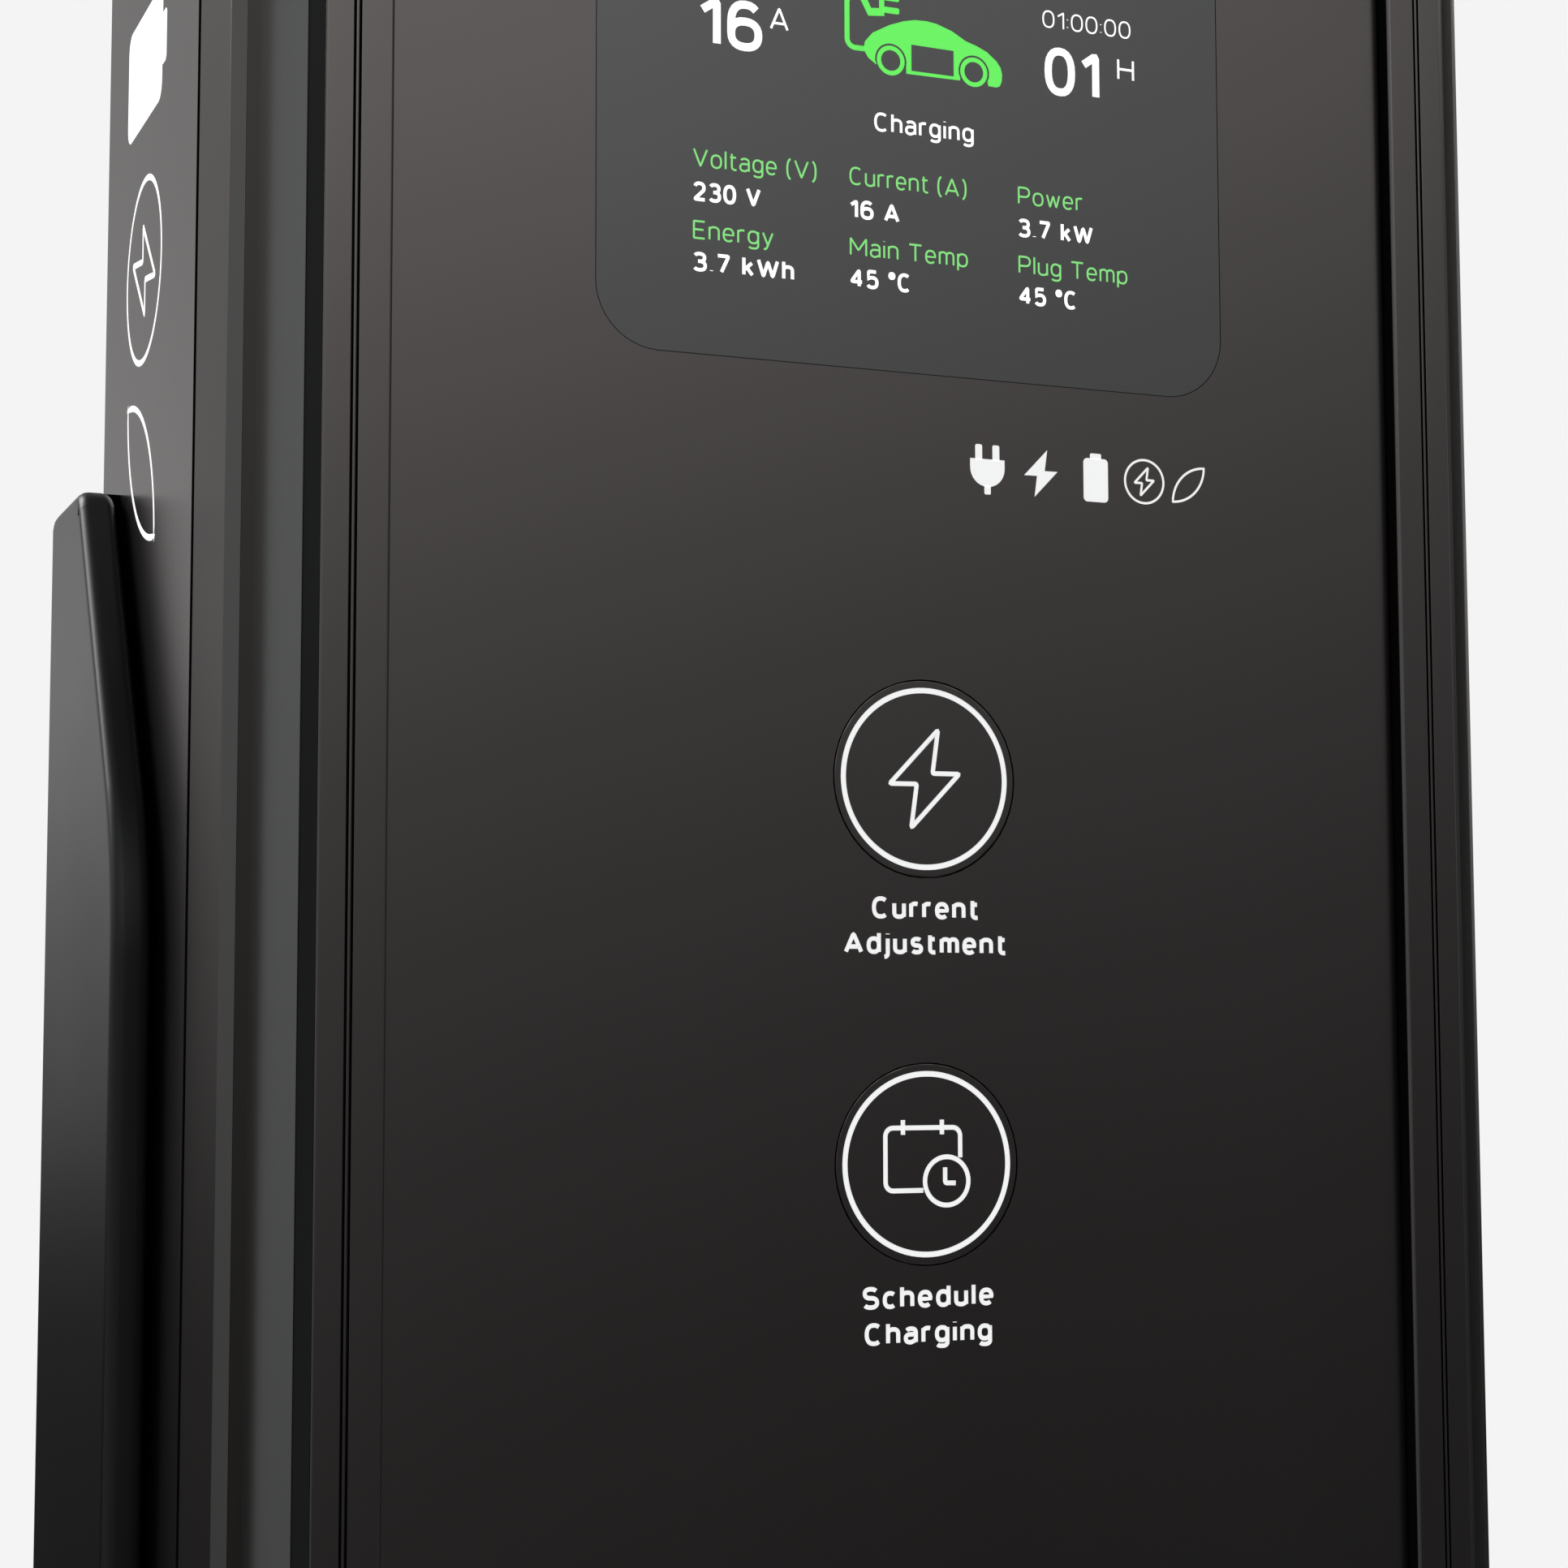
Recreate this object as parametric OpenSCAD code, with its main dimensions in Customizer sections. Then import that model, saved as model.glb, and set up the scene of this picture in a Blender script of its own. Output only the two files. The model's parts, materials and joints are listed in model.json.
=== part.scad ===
// Electric vehicle charging post: an extruded aluminium column with a recessed
// control fascia, a Type 2 socket with a sprung lid, and a steel pedestal
// channel that holds the column on its base plate.
// Units are mm, +Z is up and the front faces -Y. The origin is the centre of
// the base plate's underside.

/* [Column] */
// Width of the column over its two side faces
body_w = 214; // [200:1:260]
// Depth of the column from the front strips to the back
body_d = 120; // [114:1:160]
// Height of the whole post from the ground to the top cap
post_h = 1400; // [1330:5:1800]
// Wall of the aluminium extrusions
wall = 3; // [2.5:0.1:4]
// Radius of the two rear corners
corner_r = 5; // [4:0.5:8]
// Depth of the side strip that each front rail shows, from the front
rail_side = 34; // [33:0.5:40]
// Shadow gap between the front rail and the rear body
seam_gap = 1.8; // [0.5:0.1:2]
// Length of the tongue that the rail pushes into the rear body
tongue = 16; // [10:1:24]

/* [Front rail] */
// Size of the 45 degree corner cut, along the front and along the side
cut = 11.6; // [11:0.1:14]
// Width of the flat front strip
strip = 10; // [8:0.5:14]
// Width of the channel in the corner's slant
cove_w = 10.2; // [9:0.1:10.6]
// Depth of that channel
cove_d = 3.5; // [2.5:0.1:4.5]
// Distance from the side corner to the middle of the cove, along the cut
cove_at = 7.9; // [7.6:0.1:8.1]
// Width of the rubber infill beside the front strip
infill_w = 2.9; // [2:0.1:3]
// Depth of the rubber infill
infill_t = 2; // [1.2:0.1:2]
// Width of each of the two fine grooves in the front strip
groove_w = 0.35; // [0.3:0.05:0.6]
// Depth of the two fine grooves
groove_t = 0.5; // [0.3:0.1:0.8]
// Distance from the cut to the first fine groove
groove_at = 3.9; // [2:0.1:4.5]
// Pitch of the two fine grooves
groove_pitch = 0.8; // [0.7:0.05:1.2]

/* [Panels] */
// Depth of the panels below the front strips
recess = 2.7; // [2:0.1:4]
// Thickness of the front panels
panel_t = 3; // [2:0.5:4]
// Side gap between a panel and the rail
panel_gap = 0.25; // [0.1:0.05:0.5]
// Thickness of the panel gasket
gasket_t = 1.2; // [1:0.1:2]
// Width of the ledge that carries the panels
ledge = 8.4; // [8:0.2:12]
// Height of the joint between the service cover and the socket panel
cover_top = 717; // [650:1:740]
// Height of the joint between the socket panel and the fascia
fascia_bottom = 997; // [970:1:1010]
// Gap between two panels
joint_gap = 2; // [1:0.5:3]
// Radius of a panel screw's shank
panel_screw_r = 2; // [1.5:0.1:2.1]

/* [Display] */
// Width of the display glass
glass_w = 107.2; // [90:0.2:116]
// Height of the display glass
glass_h = 100; // [80:1:110]
// Corner radius of the display glass
glass_r = 10; // [4:0.5:14]
// Gap round the glass
glass_gap = 0.15; // [0.1:0.05:0.4]
// Distance from the upper button to the lower edge of the glass
glass_above = 63.4; // [50:0.5:66]
// Width of the rim that holds the glass from behind
frame_lip = 3.2; // [2:0.2:5]

/* [Buttons] */
// Height of the upper button above the ground
button_z = 1167; // [1120:1:1175]
// Distance between the two buttons
button_pitch = 58.9; // [46:0.5:66]
// Diameter of a button cap
button_d = 30.3; // [22:0.5:34]
// Radial gap round a button cap
button_gap = 0.25; // [0.15:0.05:0.4]
// Stroke of a button
button_travel = 1.5; // [1:0.1:2]
// Diameter of the button stem
stem_d = 8; // [6:0.5:10]
// Radial clearance of the stem in its bush
stem_clear = 0.05; // [0.02:0.01:0.1]

/* [Socket] */
// Height of the socket's centre
socket_z = 860; // [830:1:890]
// Side of the square socket flange
flange_w = 92; // [88:1:100]
// Corner radius of the socket flange
flange_r = 10; // [6:1:14]
// Height of the flange above the panel
flange_t = 10; // [8:0.5:14]
// Inner diameter of the socket
socket_d = 66; // [63:1:68]
// Wall of the socket cup
socket_wall = 4; // [3:0.5:5]
// Depth of the socket behind the panel
socket_depth = 45; // [40:1:50]
// Diameter of the contact carrier
insert_d = 54; // [50:1:55]
// Thickness of the lid
lid_t = 5; // [4:0.5:7]
// Gap between the lid and the flange
lid_gap = 0.3; // [0.2:0.1:0.6]
// Diameter of the hinge pin
pin_d = 5; // [4:0.5:6]
// Radial clearance of the hinge pin
pin_clear = 0.05; // [0.02:0.01:0.1]
// Diameter of the locking bolt
bolt_d = 8; // [6:0.5:10]
// Stroke of the locking bolt
bolt_travel = 5.5; // [4:0.5:5.5]

/* [Pedestal] */
// Width of the base plate
base_w = 320; // [290:5:420]
// Depth of the base plate
base_d = 240; // [220:5:320]
// Thickness of the base plate
base_t = 12; // [8:1:20]
// Distance between the anchor holes, left to right
anchor_w = 270; // [260:5:280]
// Distance between the anchor holes, front to back
anchor_d = 180; // [160:5:190]
// Diameter of an anchor hole
anchor_hole = 18; // [12:1:22]
// Diameter of the cable entry
entry_d = 60; // [50:1:64]
// Thickness of the pedestal channel
channel_t = 6.2; // [3:0.1:8]
// Gap between the channel's cheeks and the column
channel_gap = 1.3; // [0.5:0.1:2]
// Gap behind the column
back_gap = 0.5; // [0.2:0.1:1]
// Depth of the column that stands clear in front of the cheeks
cheek_front = 55; // [50:1:70]
// Height of the cheeks above the upper button
cheek_above = 53.5; // [40:0.5:60]
// Depth of the flat top of a cheek
cheek_flat = 31.4; // [20:0.2:40]
// Height over which the cheeks taper
cheek_taper = 65.2; // [50:0.2:80]
// Radius of the cheeks' top corners
cheek_r = 6; // [3:0.5:8]
// Diameter of a channel screw
screw_d = 8; // [6:1:10]
// Clearance round a screw
screw_clear = 0.3; // [0.1:0.05:0.5]

/* [Equipment] */
// Distance from the back of the column to the mounting plate
plate_back = 20; // [16:1:24]
// Thickness of the mounting plate
plate_t = 2; // [1.5:0.5:3]
// Width of the mounting plate
plate_w = 184; // [170:2:188]
// Height of the rail with the breakers
breaker_z = 430; // [400:5:450]
// Depth of a rail device
device_d = 44; // [40:1:48]
// Further depth of a breaker's nose
nose_d = 14; // [10:1:18]
// Swing of a breaker lever to each side of straight out
lever_swing = 35; // [25:1:40]

/* [Hidden] */
$fn = 64;
eps = 0.01;

front = -body_d / 2;
half = body_w / 2;
cap_t = 6;
cap_gasket_t = 2;
col_z0 = base_t;
col_z1 = post_h - cap_t - cap_gasket_t;
col_h = col_z1 - col_z0;
pf = front + recess;              // front face of the panels
pb = pf + panel_t;                // back face of the panels
opening = body_w - 2 * (cut + strip);
panel_w = opening - 2 * panel_gap;
ledge_y = recess + panel_t + gasket_t;
inner_wall_u = cut + strip + ledge - 4;   // inner face of the rail's box
boss_r = 4.5;
boss_bore = 2.1;
rail_boss = [wall + 3.6, rail_side - wall - 3.6];
rear_boss = [wall + 4, body_d - wall - 4];
panel_screw_u = cut + strip + 5;
cover_z0 = col_z0 + 4;
fascia_z1 = col_z1 - 3;
glass_z0 = button_z + glass_above;
glass_zc = glass_z0 + glass_h / 2;
lower_button_z = button_z - button_pitch;
frame_t = 10;
lcd_t = 6;
board_t = 1.6;
cup_d = socket_d + 2 * socket_wall;
cup_back = pb + socket_depth;
lid_y = pf - flange_t - lid_gap;
hinge_z = socket_z + flange_w / 2 + 6;
hinge_y = pf - flange_t + 2;
knuckle_r = 5;
plate_y = front + body_d - plate_back - plate_t;  // front face of the plate
rail_h = 35;
rail_t = 7.5;
rail_front = plate_y - rail_t;
channel_out = half + channel_gap + channel_t;
channel_back = front + body_d + back_gap + channel_t;
channel_top = button_z + cheek_above;
screw_zs = [120, 480, 840];
switch_h = 6.4;
cap_len = 3;
flange_len = 1.2;
seat_gap = 0.1;
housing_in = button_d / 2 + 2.3;
housing_out = housing_in + 2.7;
housing_len = 12;
stem_tip = pb + 15;
switch_face = stem_tip + button_travel + 0.1;
board_y = switch_face + switch_h;

// ---- helpers ----
module rrect(w, h, r) {
    square([w - 2 * r, h], center = true);
    square([w, h - 2 * r], center = true);
    for (x = [-1, 1], z = [-1, 1])
        translate([x * (w / 2 - r), z * (h / 2 - r)]) circle(r);
}
// a flat shape drawn as (x, z), made thick from y0 to y1
module slab(y0, y1) {
    translate([0, y1, 0]) rotate([90, 0, 0]) linear_extrude(y1 - y0) children();
}
module bar_y(d, y0, y1) {
    slab(y0, y1) circle(d / 2);
}
module box(x0, x1, y0, y1, z0, z1) {
    translate([x0, y0, z0]) cube([x1 - x0, y1 - y0, z1 - z0]);
}
// a profile drawn as (depth y, height z), made long from x0 to x1
module side_prism(x0, x1) {
    translate([x0, 0, 0]) rotate([90, 0, 90]) linear_extrude(x1 - x0) children();
}
module both() { children(); mirror([1, 0, 0]) children(); }

// ---- extrusions, drawn for the left side as u in from the side, v back ----
module section_frame() { translate([-half, front]) children(); }
module cut_frame(t) { translate([t / sqrt(2), cut - t / sqrt(2)]) rotate(-45) children(); }

module rail_section() {
    cut_len = cut * sqrt(2);
    deep = (cove_d + wall) * sqrt(2);
    iw = inner_wall_u;
    difference() {
        polygon([[cut + strip - 0.4, 0], [cut, 0], [0, cut], [0, rail_side],
            [wall + 0.1, rail_side], [wall + 0.1, rail_side + seam_gap + tongue],
            [2 * wall + 0.1, rail_side + seam_gap + tongue],
            [2 * wall + 0.1, rail_side], [iw, rail_side],
            [iw, ledge_y + wall], [cut + strip + ledge, ledge_y + wall],
            [cut + strip + ledge, ledge_y], [cut + strip, ledge_y],
            [cut + strip, 0.4]]);
        polygon([[wall, cut + deep - wall], [wall, rail_side - wall],
            [iw - wall, rail_side - wall], [iw - wall, ledge_y + wall],
            [cut + deep - ledge_y - wall, ledge_y + wall]]);
        cut_frame(cove_at - cove_w / 2) translate([0, -1]) square([cove_w, cove_d + 1]);
        cut_frame(cut_len - 0.35 - infill_w / 2) translate([-infill_w / 2, -1])
            square([infill_w, infill_t + 1]);
        for (k = [0, 1])
            translate([cut + groove_at + k * groove_pitch, -1])
                square([groove_w, groove_t + 1]);
    }
}
module infill_section() {
    cut_len = cut * sqrt(2);
    c = 0.05;
    cut_frame(cut_len - 0.35 - infill_w / 2) translate([-infill_w / 2 + c, c])
        square([infill_w - 2 * c, infill_t - c]);
}
module rear_section() {
    v0 = rail_side + seam_gap;
    difference() {
        union() {
            difference() {
                rear_outline(0, v0);
                rear_outline(wall, v0 - 1);
            }
            for (s = [-1, 1]) translate([s * (half - rear_boss[0]), front + rear_boss[1]])
                circle(boss_r);
        }
        for (s = [-1, 1]) translate([s * (half - rear_boss[0]), front + rear_boss[1]])
            circle(boss_bore);
    }
}
module rear_outline(inset, v0) {
    r = max(corner_r - inset, 1);
    w = half - inset;
    y1 = front + body_d - inset;
    translate([-w, front + v0]) square([2 * w, y1 - r - front - v0]);
    translate([-w + r, y1 - r - 1]) square([2 * (w - r), r + 1]);
    for (s = [-1, 1]) translate([s * (w - r), y1 - r]) circle(r);
}
module column_outline(inset) {
    c = cut + inset * 0.414;
    rear_outline(inset, cut + 5);
    polygon([[-half + inset, front + cut + 6], [-half + inset, front + cut + inset * 0.414],
        [-half + cut + inset * 0.414, front + inset], [half - cut - inset * 0.414, front + inset],
        [half - inset, front + cut + inset * 0.414], [half - inset, front + cut + 6]]);
}
module boss_points() {
    for (s = [-1, 1]) {
        translate([s * (half - rail_boss[0]), front + rail_boss[1], 0]) children();
        translate([s * (half - rear_boss[0]), front + rear_boss[1], 0]) children();
    }
}
module channel_screw_points() {
    for (z = screw_zs, s = [0, 1])
        mirror([s, 0, 0]) translate([-half, front + (cheek_front + body_d) / 2 + 6, z])
            rotate([0, 90, 0]) children();
}

// ---- pedestal ----
module base_plate() {
    color([0.10, 0.10, 0.11]) difference() {
        linear_extrude(base_t) difference() {
            rrect(base_w, base_d, 12);
            for (x = [-1, 1], y = [-1, 1])
                translate([x * anchor_w / 2, y * anchor_d / 2]) circle(anchor_hole / 2);
            circle(entry_d / 2);
        }
        boss_points() {
            translate([0, 0, -1]) cylinder(r = boss_bore + 0.3, h = base_t + 2);
            translate([0, 0, -1]) cylinder(r = 5.2, h = 5.2);
        }
    }
}
module channel_profile() {
    // side view of the channel, (y, z)
    y1 = channel_back;
    y0 = front + cheek_front;
    z1 = channel_top;
    zb = z1 - cheek_taper;
    yt = y1 - cheek_flat;
    bend = 56;
    steps = 24;
    slope = atan2(yt - y0, cheek_taper);
    tb = bend * tan(slope / 2);
    difference() {
        polygon([[y1, base_t], [y0, base_t],
            [y0, zb - tb],
            for (i = [1:steps - 1]) let (a = slope * i / steps)
                [y0 + bend * (1 - cos(a)), zb - tb + bend * sin(a)],
            [y0 + tb * sin(slope), zb + tb * cos(slope)],
            [yt, z1], [y1, z1]]);
        // round the two top corners
        translate([y1 - cheek_r, z1 - cheek_r]) difference() {
            square(cheek_r + 1);
            circle(cheek_r);
        }
        difference() {
            polygon([[yt, z1 + 1], [yt + top_run(slope), z1 + 1], [yt + top_run(slope), z1],
                [yt + top_run(slope), z1 - cheek_r],
                [yt - top_run(slope) * sin(slope) - 2, z1 - top_run(slope) * cos(slope)],
                [yt - 8, z1 + 1]]);
            translate([yt + top_run(slope), z1 - cheek_r]) circle(cheek_r);
            // keep what lies inside the slope
            polygon([[yt + top_run(slope), z1 - cheek_r],
                [yt + top_run(slope) - cheek_r * cos(slope), z1 - cheek_r + cheek_r * sin(slope)],
                [yt - top_run(slope) * sin(slope) - 2 + 2, z1 - top_run(slope) * cos(slope) - 1],
                [yt + top_run(slope), z1 - 2 * cheek_r - 4]]);
        }
    }
}
function top_run(slope) = cheek_r * tan((90 - slope) / 2);
module channel_section() {
    r = 4;
    ri = 1;
    w = channel_out;
    y1 = channel_back;
    difference() {
        union() {
            translate([-w, front + cheek_front - 1])
                square([2 * w, y1 - r - front - cheek_front + 1]);
            translate([-w + r, y1 - r - 1]) square([2 * (w - r), r + 1]);
            for (s = [-1, 1]) translate([s * (w - r), y1 - r]) circle(r);
        }
        wi = w - channel_t;
        translate([-wi, front + cheek_front - 2])
            square([2 * wi, y1 - channel_t - front - cheek_front + 2]);
    }
}
module pedestal_channel() {
    color([0.30, 0.30, 0.31]) difference() {
        intersection() {
            translate([0, 0, base_t]) linear_extrude(channel_top - base_t) channel_section();
            side_prism(-channel_out - 1, channel_out + 1) channel_profile();
        }
        channel_screw_points() translate([0, 0, -channel_gap - channel_t - 1])
            cylinder(d = screw_d + 2 * screw_clear, h = channel_t + 2);
    }
}
module channel_pads() {
    color([0.03, 0.03, 0.03]) both()
        for (i = [0:2]) translate([-half - channel_gap, 0, 0]) {
            z = screw_zs[i];
            y = front + (cheek_front + body_d) / 2 + 6;
            difference() {
                box(0, channel_gap, y - 20, y + 20, z - 60, z + 60);
                translate([-1, y, z]) rotate([0, 90, 0])
                    cylinder(d = screw_d + 2 * screw_clear, h = channel_gap + 2);
            }
        }
}
module channel_screws() {
    over = channel_gap + channel_t;
    color([0.55, 0.55, 0.56]) channel_screw_points() {
        difference() {
            translate([0, 0, -over - 4]) cylinder(d = screw_d + 7, h = 4);
            translate([0, 0, -over - 5]) cylinder(d = 5.8, h = 3.5, $fn = 6);
        }
        translate([0, 0, -over - 0.5]) cylinder(d = screw_d, h = over + wall + 8);
        translate([0, 0, wall]) cylinder(d = screw_d + 5, h = 6.5);
    }
}

// ---- column ----
module rear_body() {
    color([0.36, 0.35, 0.35]) difference() {
        translate([0, 0, col_z0]) linear_extrude(col_h) rear_section();
        channel_screw_points() translate([0, 0, -1])
            cylinder(d = screw_d + 2 * screw_clear, h = wall + 2);
        standoff_points() translate([0, 0, 0]) slab(front + body_d - wall - 1, front + body_d + 1)
            circle(2.2);
    }
}
module rail() {
    difference() {
        union() {
            translate([0, 0, col_z0]) linear_extrude(col_h) section_frame() rail_section();
            translate([-half + rail_boss[0], front + rail_boss[1], col_z0])
                cylinder(r = boss_r, h = col_h);
        }
        translate([-half + rail_boss[0], front + rail_boss[1], col_z0 - 1])
            cylinder(r = boss_bore, h = col_h + 2);
        panel_screw_points(-1) slab(pb + gasket_t - 1, pb + gasket_t + wall + 1)
            circle(panel_screw_r + 0.05);
    }
}
module left_rail() { color([0.33, 0.32, 0.32]) rail(); }
module right_rail() { color([0.33, 0.32, 0.32]) mirror([1, 0, 0]) rail(); }
module infill() {
    translate([0, 0, col_z0]) linear_extrude(col_h) section_frame() infill_section();
}
module left_infill() { color([0.03, 0.03, 0.03]) infill(); }
module right_infill() { color([0.03, 0.03, 0.03]) mirror([1, 0, 0]) infill(); }
module panel_gaskets() {
    color([0.05, 0.05, 0.05]) both()
        box(-half + cut + strip + 0.3, -half + panel_screw_u - panel_screw_r - 0.4,
            pb, pb + gasket_t, cover_z0, fascia_z1);
}
cover_screw_zs = [cover_z0 + 40, (cover_z0 + cover_top) / 2, cover_top - 40];
socket_screw_zs = [cover_top + 24, fascia_bottom - 24];
module panel_screw_points(side) {
    for (z = concat(cover_screw_zs, socket_screw_zs))
        translate([side * (half - panel_screw_u), 0, z]) children();
}
module panel_blank(z0, z1) {
    slab(pf, pb) translate([0, (z0 + z1) / 2]) square([panel_w, z1 - z0], center = true);
}
module screw_holes(zs) {
    for (s = [-1, 1], z = zs) translate([s * (half - panel_screw_u), 0, z]) {
        slab(pf - 1, pb + 1) circle(panel_screw_r + 0.2);
        slab(pf - 1, pf + 1.6) circle(4.2);
    }
}
module fascia_panel() {
    color([0.34, 0.33, 0.33]) difference() {
        panel_blank(fascia_bottom + joint_gap / 2, fascia_z1);
        slab(pf - 1, pb + 1) translate([0, glass_zc])
            rrect(glass_w + 2 * glass_gap, glass_h + 2 * glass_gap, glass_r + glass_gap);
        for (z = [button_z, lower_button_z])
            translate([0, 0, z]) bar_y(button_d + 2 * button_gap, pf - 1, pb + 1);
    }
}
module fascia_clips() {
    // angle clips that pull the fascia onto its gasket from behind
    zs = [fascia_bottom + 30, (fascia_bottom + fascia_z1) / 2, fascia_z1 - 30];
    x0 = -half + cut + strip + ledge + 0.2;
    y0 = pb;
    y1 = pb + gasket_t + wall;
    color([0.6, 0.6, 0.62]) both() for (z = zs) {
        box(x0, x0 + 8, y0, y0 + 2, z - 12, z + 12);
        box(x0, x0 + 2, y0, y1 + 2, z - 12, z + 12);
        box(x0 - 3.4, x0 + 2, y1, y1 + 2, z - 12, z + 12);
    }
}
module socket_panel() {
    color([0.34, 0.33, 0.33]) difference() {
        panel_blank(cover_top + joint_gap / 2, fascia_bottom - joint_gap / 2);
        translate([0, 0, socket_z]) bar_y(cup_d + 0.4, pf - 1, pb + 1);
        socket_screw_points() slab(pf - 1, pb + 1) circle(2.3);
        screw_holes(socket_screw_zs);
    }
}
module service_cover() {
    color([0.34, 0.33, 0.33]) difference() {
        panel_blank(cover_z0, cover_top - joint_gap / 2);
        screw_holes(cover_screw_zs);
    }
}
module panel_screws() {
    color([0.5, 0.5, 0.5]) for (s = [-1, 1]) panel_screw_points(s) {
        difference() {
            slab(pf, pf + 1.6) circle(3.9);
            slab(pf - 1, pf + 1.2) circle(1.6, $fn = 6);
        }
        slab(pf + 1.5, pb + gasket_t + wall) circle(panel_screw_r);
    }
}
module cross_bars() {
    w = half - inner_wall_u - 0.1;
    y0 = pb + gasket_t + wall;
    color([0.4, 0.4, 0.4]) for (z = [cover_top, fascia_bottom])
        difference() {
            union() {
                box(-w, w, y0, y0 + 6, z - 10, z + 10);
                box(-w + 4, w - 4, pb, y0 + 1, z - 6, z + 6);
            }
            box(-w + 9, w - 9, pb + 2, y0 + 4, z - 11, z + 11);
        }
}
module top_cap() {
    color([0.33, 0.32, 0.32]) difference() {
        translate([0, 0, post_h - cap_t]) linear_extrude(cap_t) column_outline(0);
        boss_points() translate([0, 0, post_h - cap_t - 1]) {
            cylinder(r = boss_bore + 0.3, h = cap_t + 2);
            translate([0, 0, cap_t - 2]) cylinder(r = 5, h = 4);
        }
    }
}
module cap_gasket() {
    color([0.04, 0.04, 0.04]) difference() {
        translate([0, 0, col_z1]) linear_extrude(cap_gasket_t) difference() {
            column_outline(0.6);
            column_outline(14);
        }
        boss_points() translate([0, 0, col_z1 - 1]) cylinder(r = boss_bore + 0.3, h = cap_gasket_t + 2);
    }
}
module boss_screw(head_h, len) {
    difference() {
        translate([0, 0, -head_h]) cylinder(r = 4.7, h = head_h);
        translate([0, 0, -1.9]) cylinder(r = 2, h = 3, $fn = 6);
    }
    translate([0, 0, -len]) cylinder(r = boss_bore - 0.05, h = len - head_h + 0.5);
}
module cap_screws() {
    color([0.5, 0.5, 0.5]) boss_points() translate([0, 0, post_h - 0.2]) boss_screw(2.8, 30);
}
module foot_screws() {
    color([0.5, 0.5, 0.5]) boss_points() translate([0, 0, 0.4]) mirror([0, 0, 1])
        boss_screw(3.8, 36);
}

// ---- display ----
module display_glass() {
    color([0.05, 0.05, 0.055]) slab(pf, pb) translate([0, glass_zc])
        rrect(glass_w, glass_h, glass_r);
}
module display_frame() {
    w = glass_w + 14;
    h = glass_h + 14;
    color([0.08, 0.08, 0.08]) difference() {
        slab(pb, pb + frame_t) translate([0, glass_zc]) difference() {
            rrect(w, h, 6);
            square([glass_w - 2 * frame_lip, glass_h - 2 * frame_lip], center = true);
        }
        display_screw_points() slab(pb + frame_t - 6, pb + frame_t + 1) circle(1.25);
    }
}
module display_screw_points() {
    for (x = [-1, 1], z = [-1, 1])
        translate([x * (glass_w / 2 + 2), 0, glass_zc + z * (glass_h / 2 + 2)]) children();
}
module lcd_module() {
    w = glass_w - 2 * frame_lip - 0.2;
    h = glass_h - 2 * frame_lip - 0.2;
    color([0.12, 0.12, 0.13]) {
        slab(pb, pb + lcd_t) translate([0, glass_zc]) square([w, h], center = true);
        slab(pb + lcd_t, pb + frame_t) translate([0, glass_zc]) square([w - 30, h - 30], center = true);
    }
}
module display_board() {
    color([0.05, 0.25, 0.12]) {
        difference() {
            slab(pb + frame_t, pb + frame_t + board_t) translate([0, glass_zc])
                rrect(glass_w + 12, glass_h + 12, 4);
            display_screw_points() slab(pb, pb + 20) circle(1.6);
        }
        slab(pb + frame_t + board_t, pb + frame_t + board_t + 5) translate([0, glass_zc + 30])
            square([40, 10], center = true);
        slab(pb + frame_t + board_t, pb + frame_t + board_t + 1.6) translate([-12, glass_zc])
            square([22, 22], center = true);
        for (i = [0:3]) slab(pb + frame_t + board_t, pb + frame_t + board_t + 8)
            translate([22 + 8 * (i % 2), glass_zc - 8 - 14 * floor(i / 2)]) circle(3);
        display_screw_points() {
            slab(pb + frame_t + board_t, pb + frame_t + board_t + 1.8) circle(2.8);
            slab(pb + frame_t - 5, pb + frame_t + board_t + 0.5) circle(1.2);
        }
    }
}

// ---- buttons ----
module push_button() {
    bar_y(button_d, pf, pf + cap_len + 0.2);
    bar_y(2 * housing_in - 0.6, pf + cap_len + seat_gap, pb + seat_gap + flange_len);
    bar_y(stem_d, pb + flange_len, stem_tip);
}
module current_button() {
    color([0.32, 0.31, 0.31]) translate([0, 0, button_z]) push_button();
}
module schedule_button() {
    color([0.32, 0.31, 0.31]) translate([0, 0, lower_button_z]) push_button();
}
module button_housings() {
    color([0.07, 0.07, 0.07]) for (z = [button_z, lower_button_z])
        translate([0, 0, z]) difference() {
            union() {
                bar_y(2 * housing_out, pb, pb + housing_len);
                for (s = [-1, 1]) translate([s * (housing_out + 2), 0, 0])
                    slab(pb, pb + 4) circle(4);
            }
            bar_y(2 * housing_in, pb - 1, pb + housing_len - 3);
            bar_y(stem_d + 2 * stem_clear, pb, pb + housing_len + 1);
        }
}
// a round wire of radius wr wound at radius cr, from y0 to y1
spring_sides = 8;
spring_steps = 16;
module coil(cr, wr, y0, y1, turns) {
    n = turns * spring_steps;
    function ring(i) = let (a = 360 * i / spring_steps,
            y = y0 + wr + (y1 - y0 - 2 * wr) * i / n)
        [for (k = [0:spring_sides - 1]) let (b = 360 * k / spring_sides,
            r = cr + wr * cos(b)) [r * cos(a), y + wr * sin(b), r * sin(a)]];
    pts = [for (i = [0:n]) each ring(i)];
    s = spring_sides;
    faces = concat(
        [[for (k = [0:s - 1]) k]],
        [for (i = [0:n - 1], k = [0:s - 1]) [i * s + k, i * s + (k + 1) % s,
            (i + 1) * s + (k + 1) % s]],
        [for (i = [0:n - 1], k = [0:s - 1]) [i * s + k, (i + 1) * s + (k + 1) % s,
            (i + 1) * s + k]],
        [[for (k = [s - 1:-1:0]) n * s + k]]);
    polyhedron(pts, [for (f = faces) [for (j = [len(f) - 1:-1:0]) f[j]]]);
}
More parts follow.
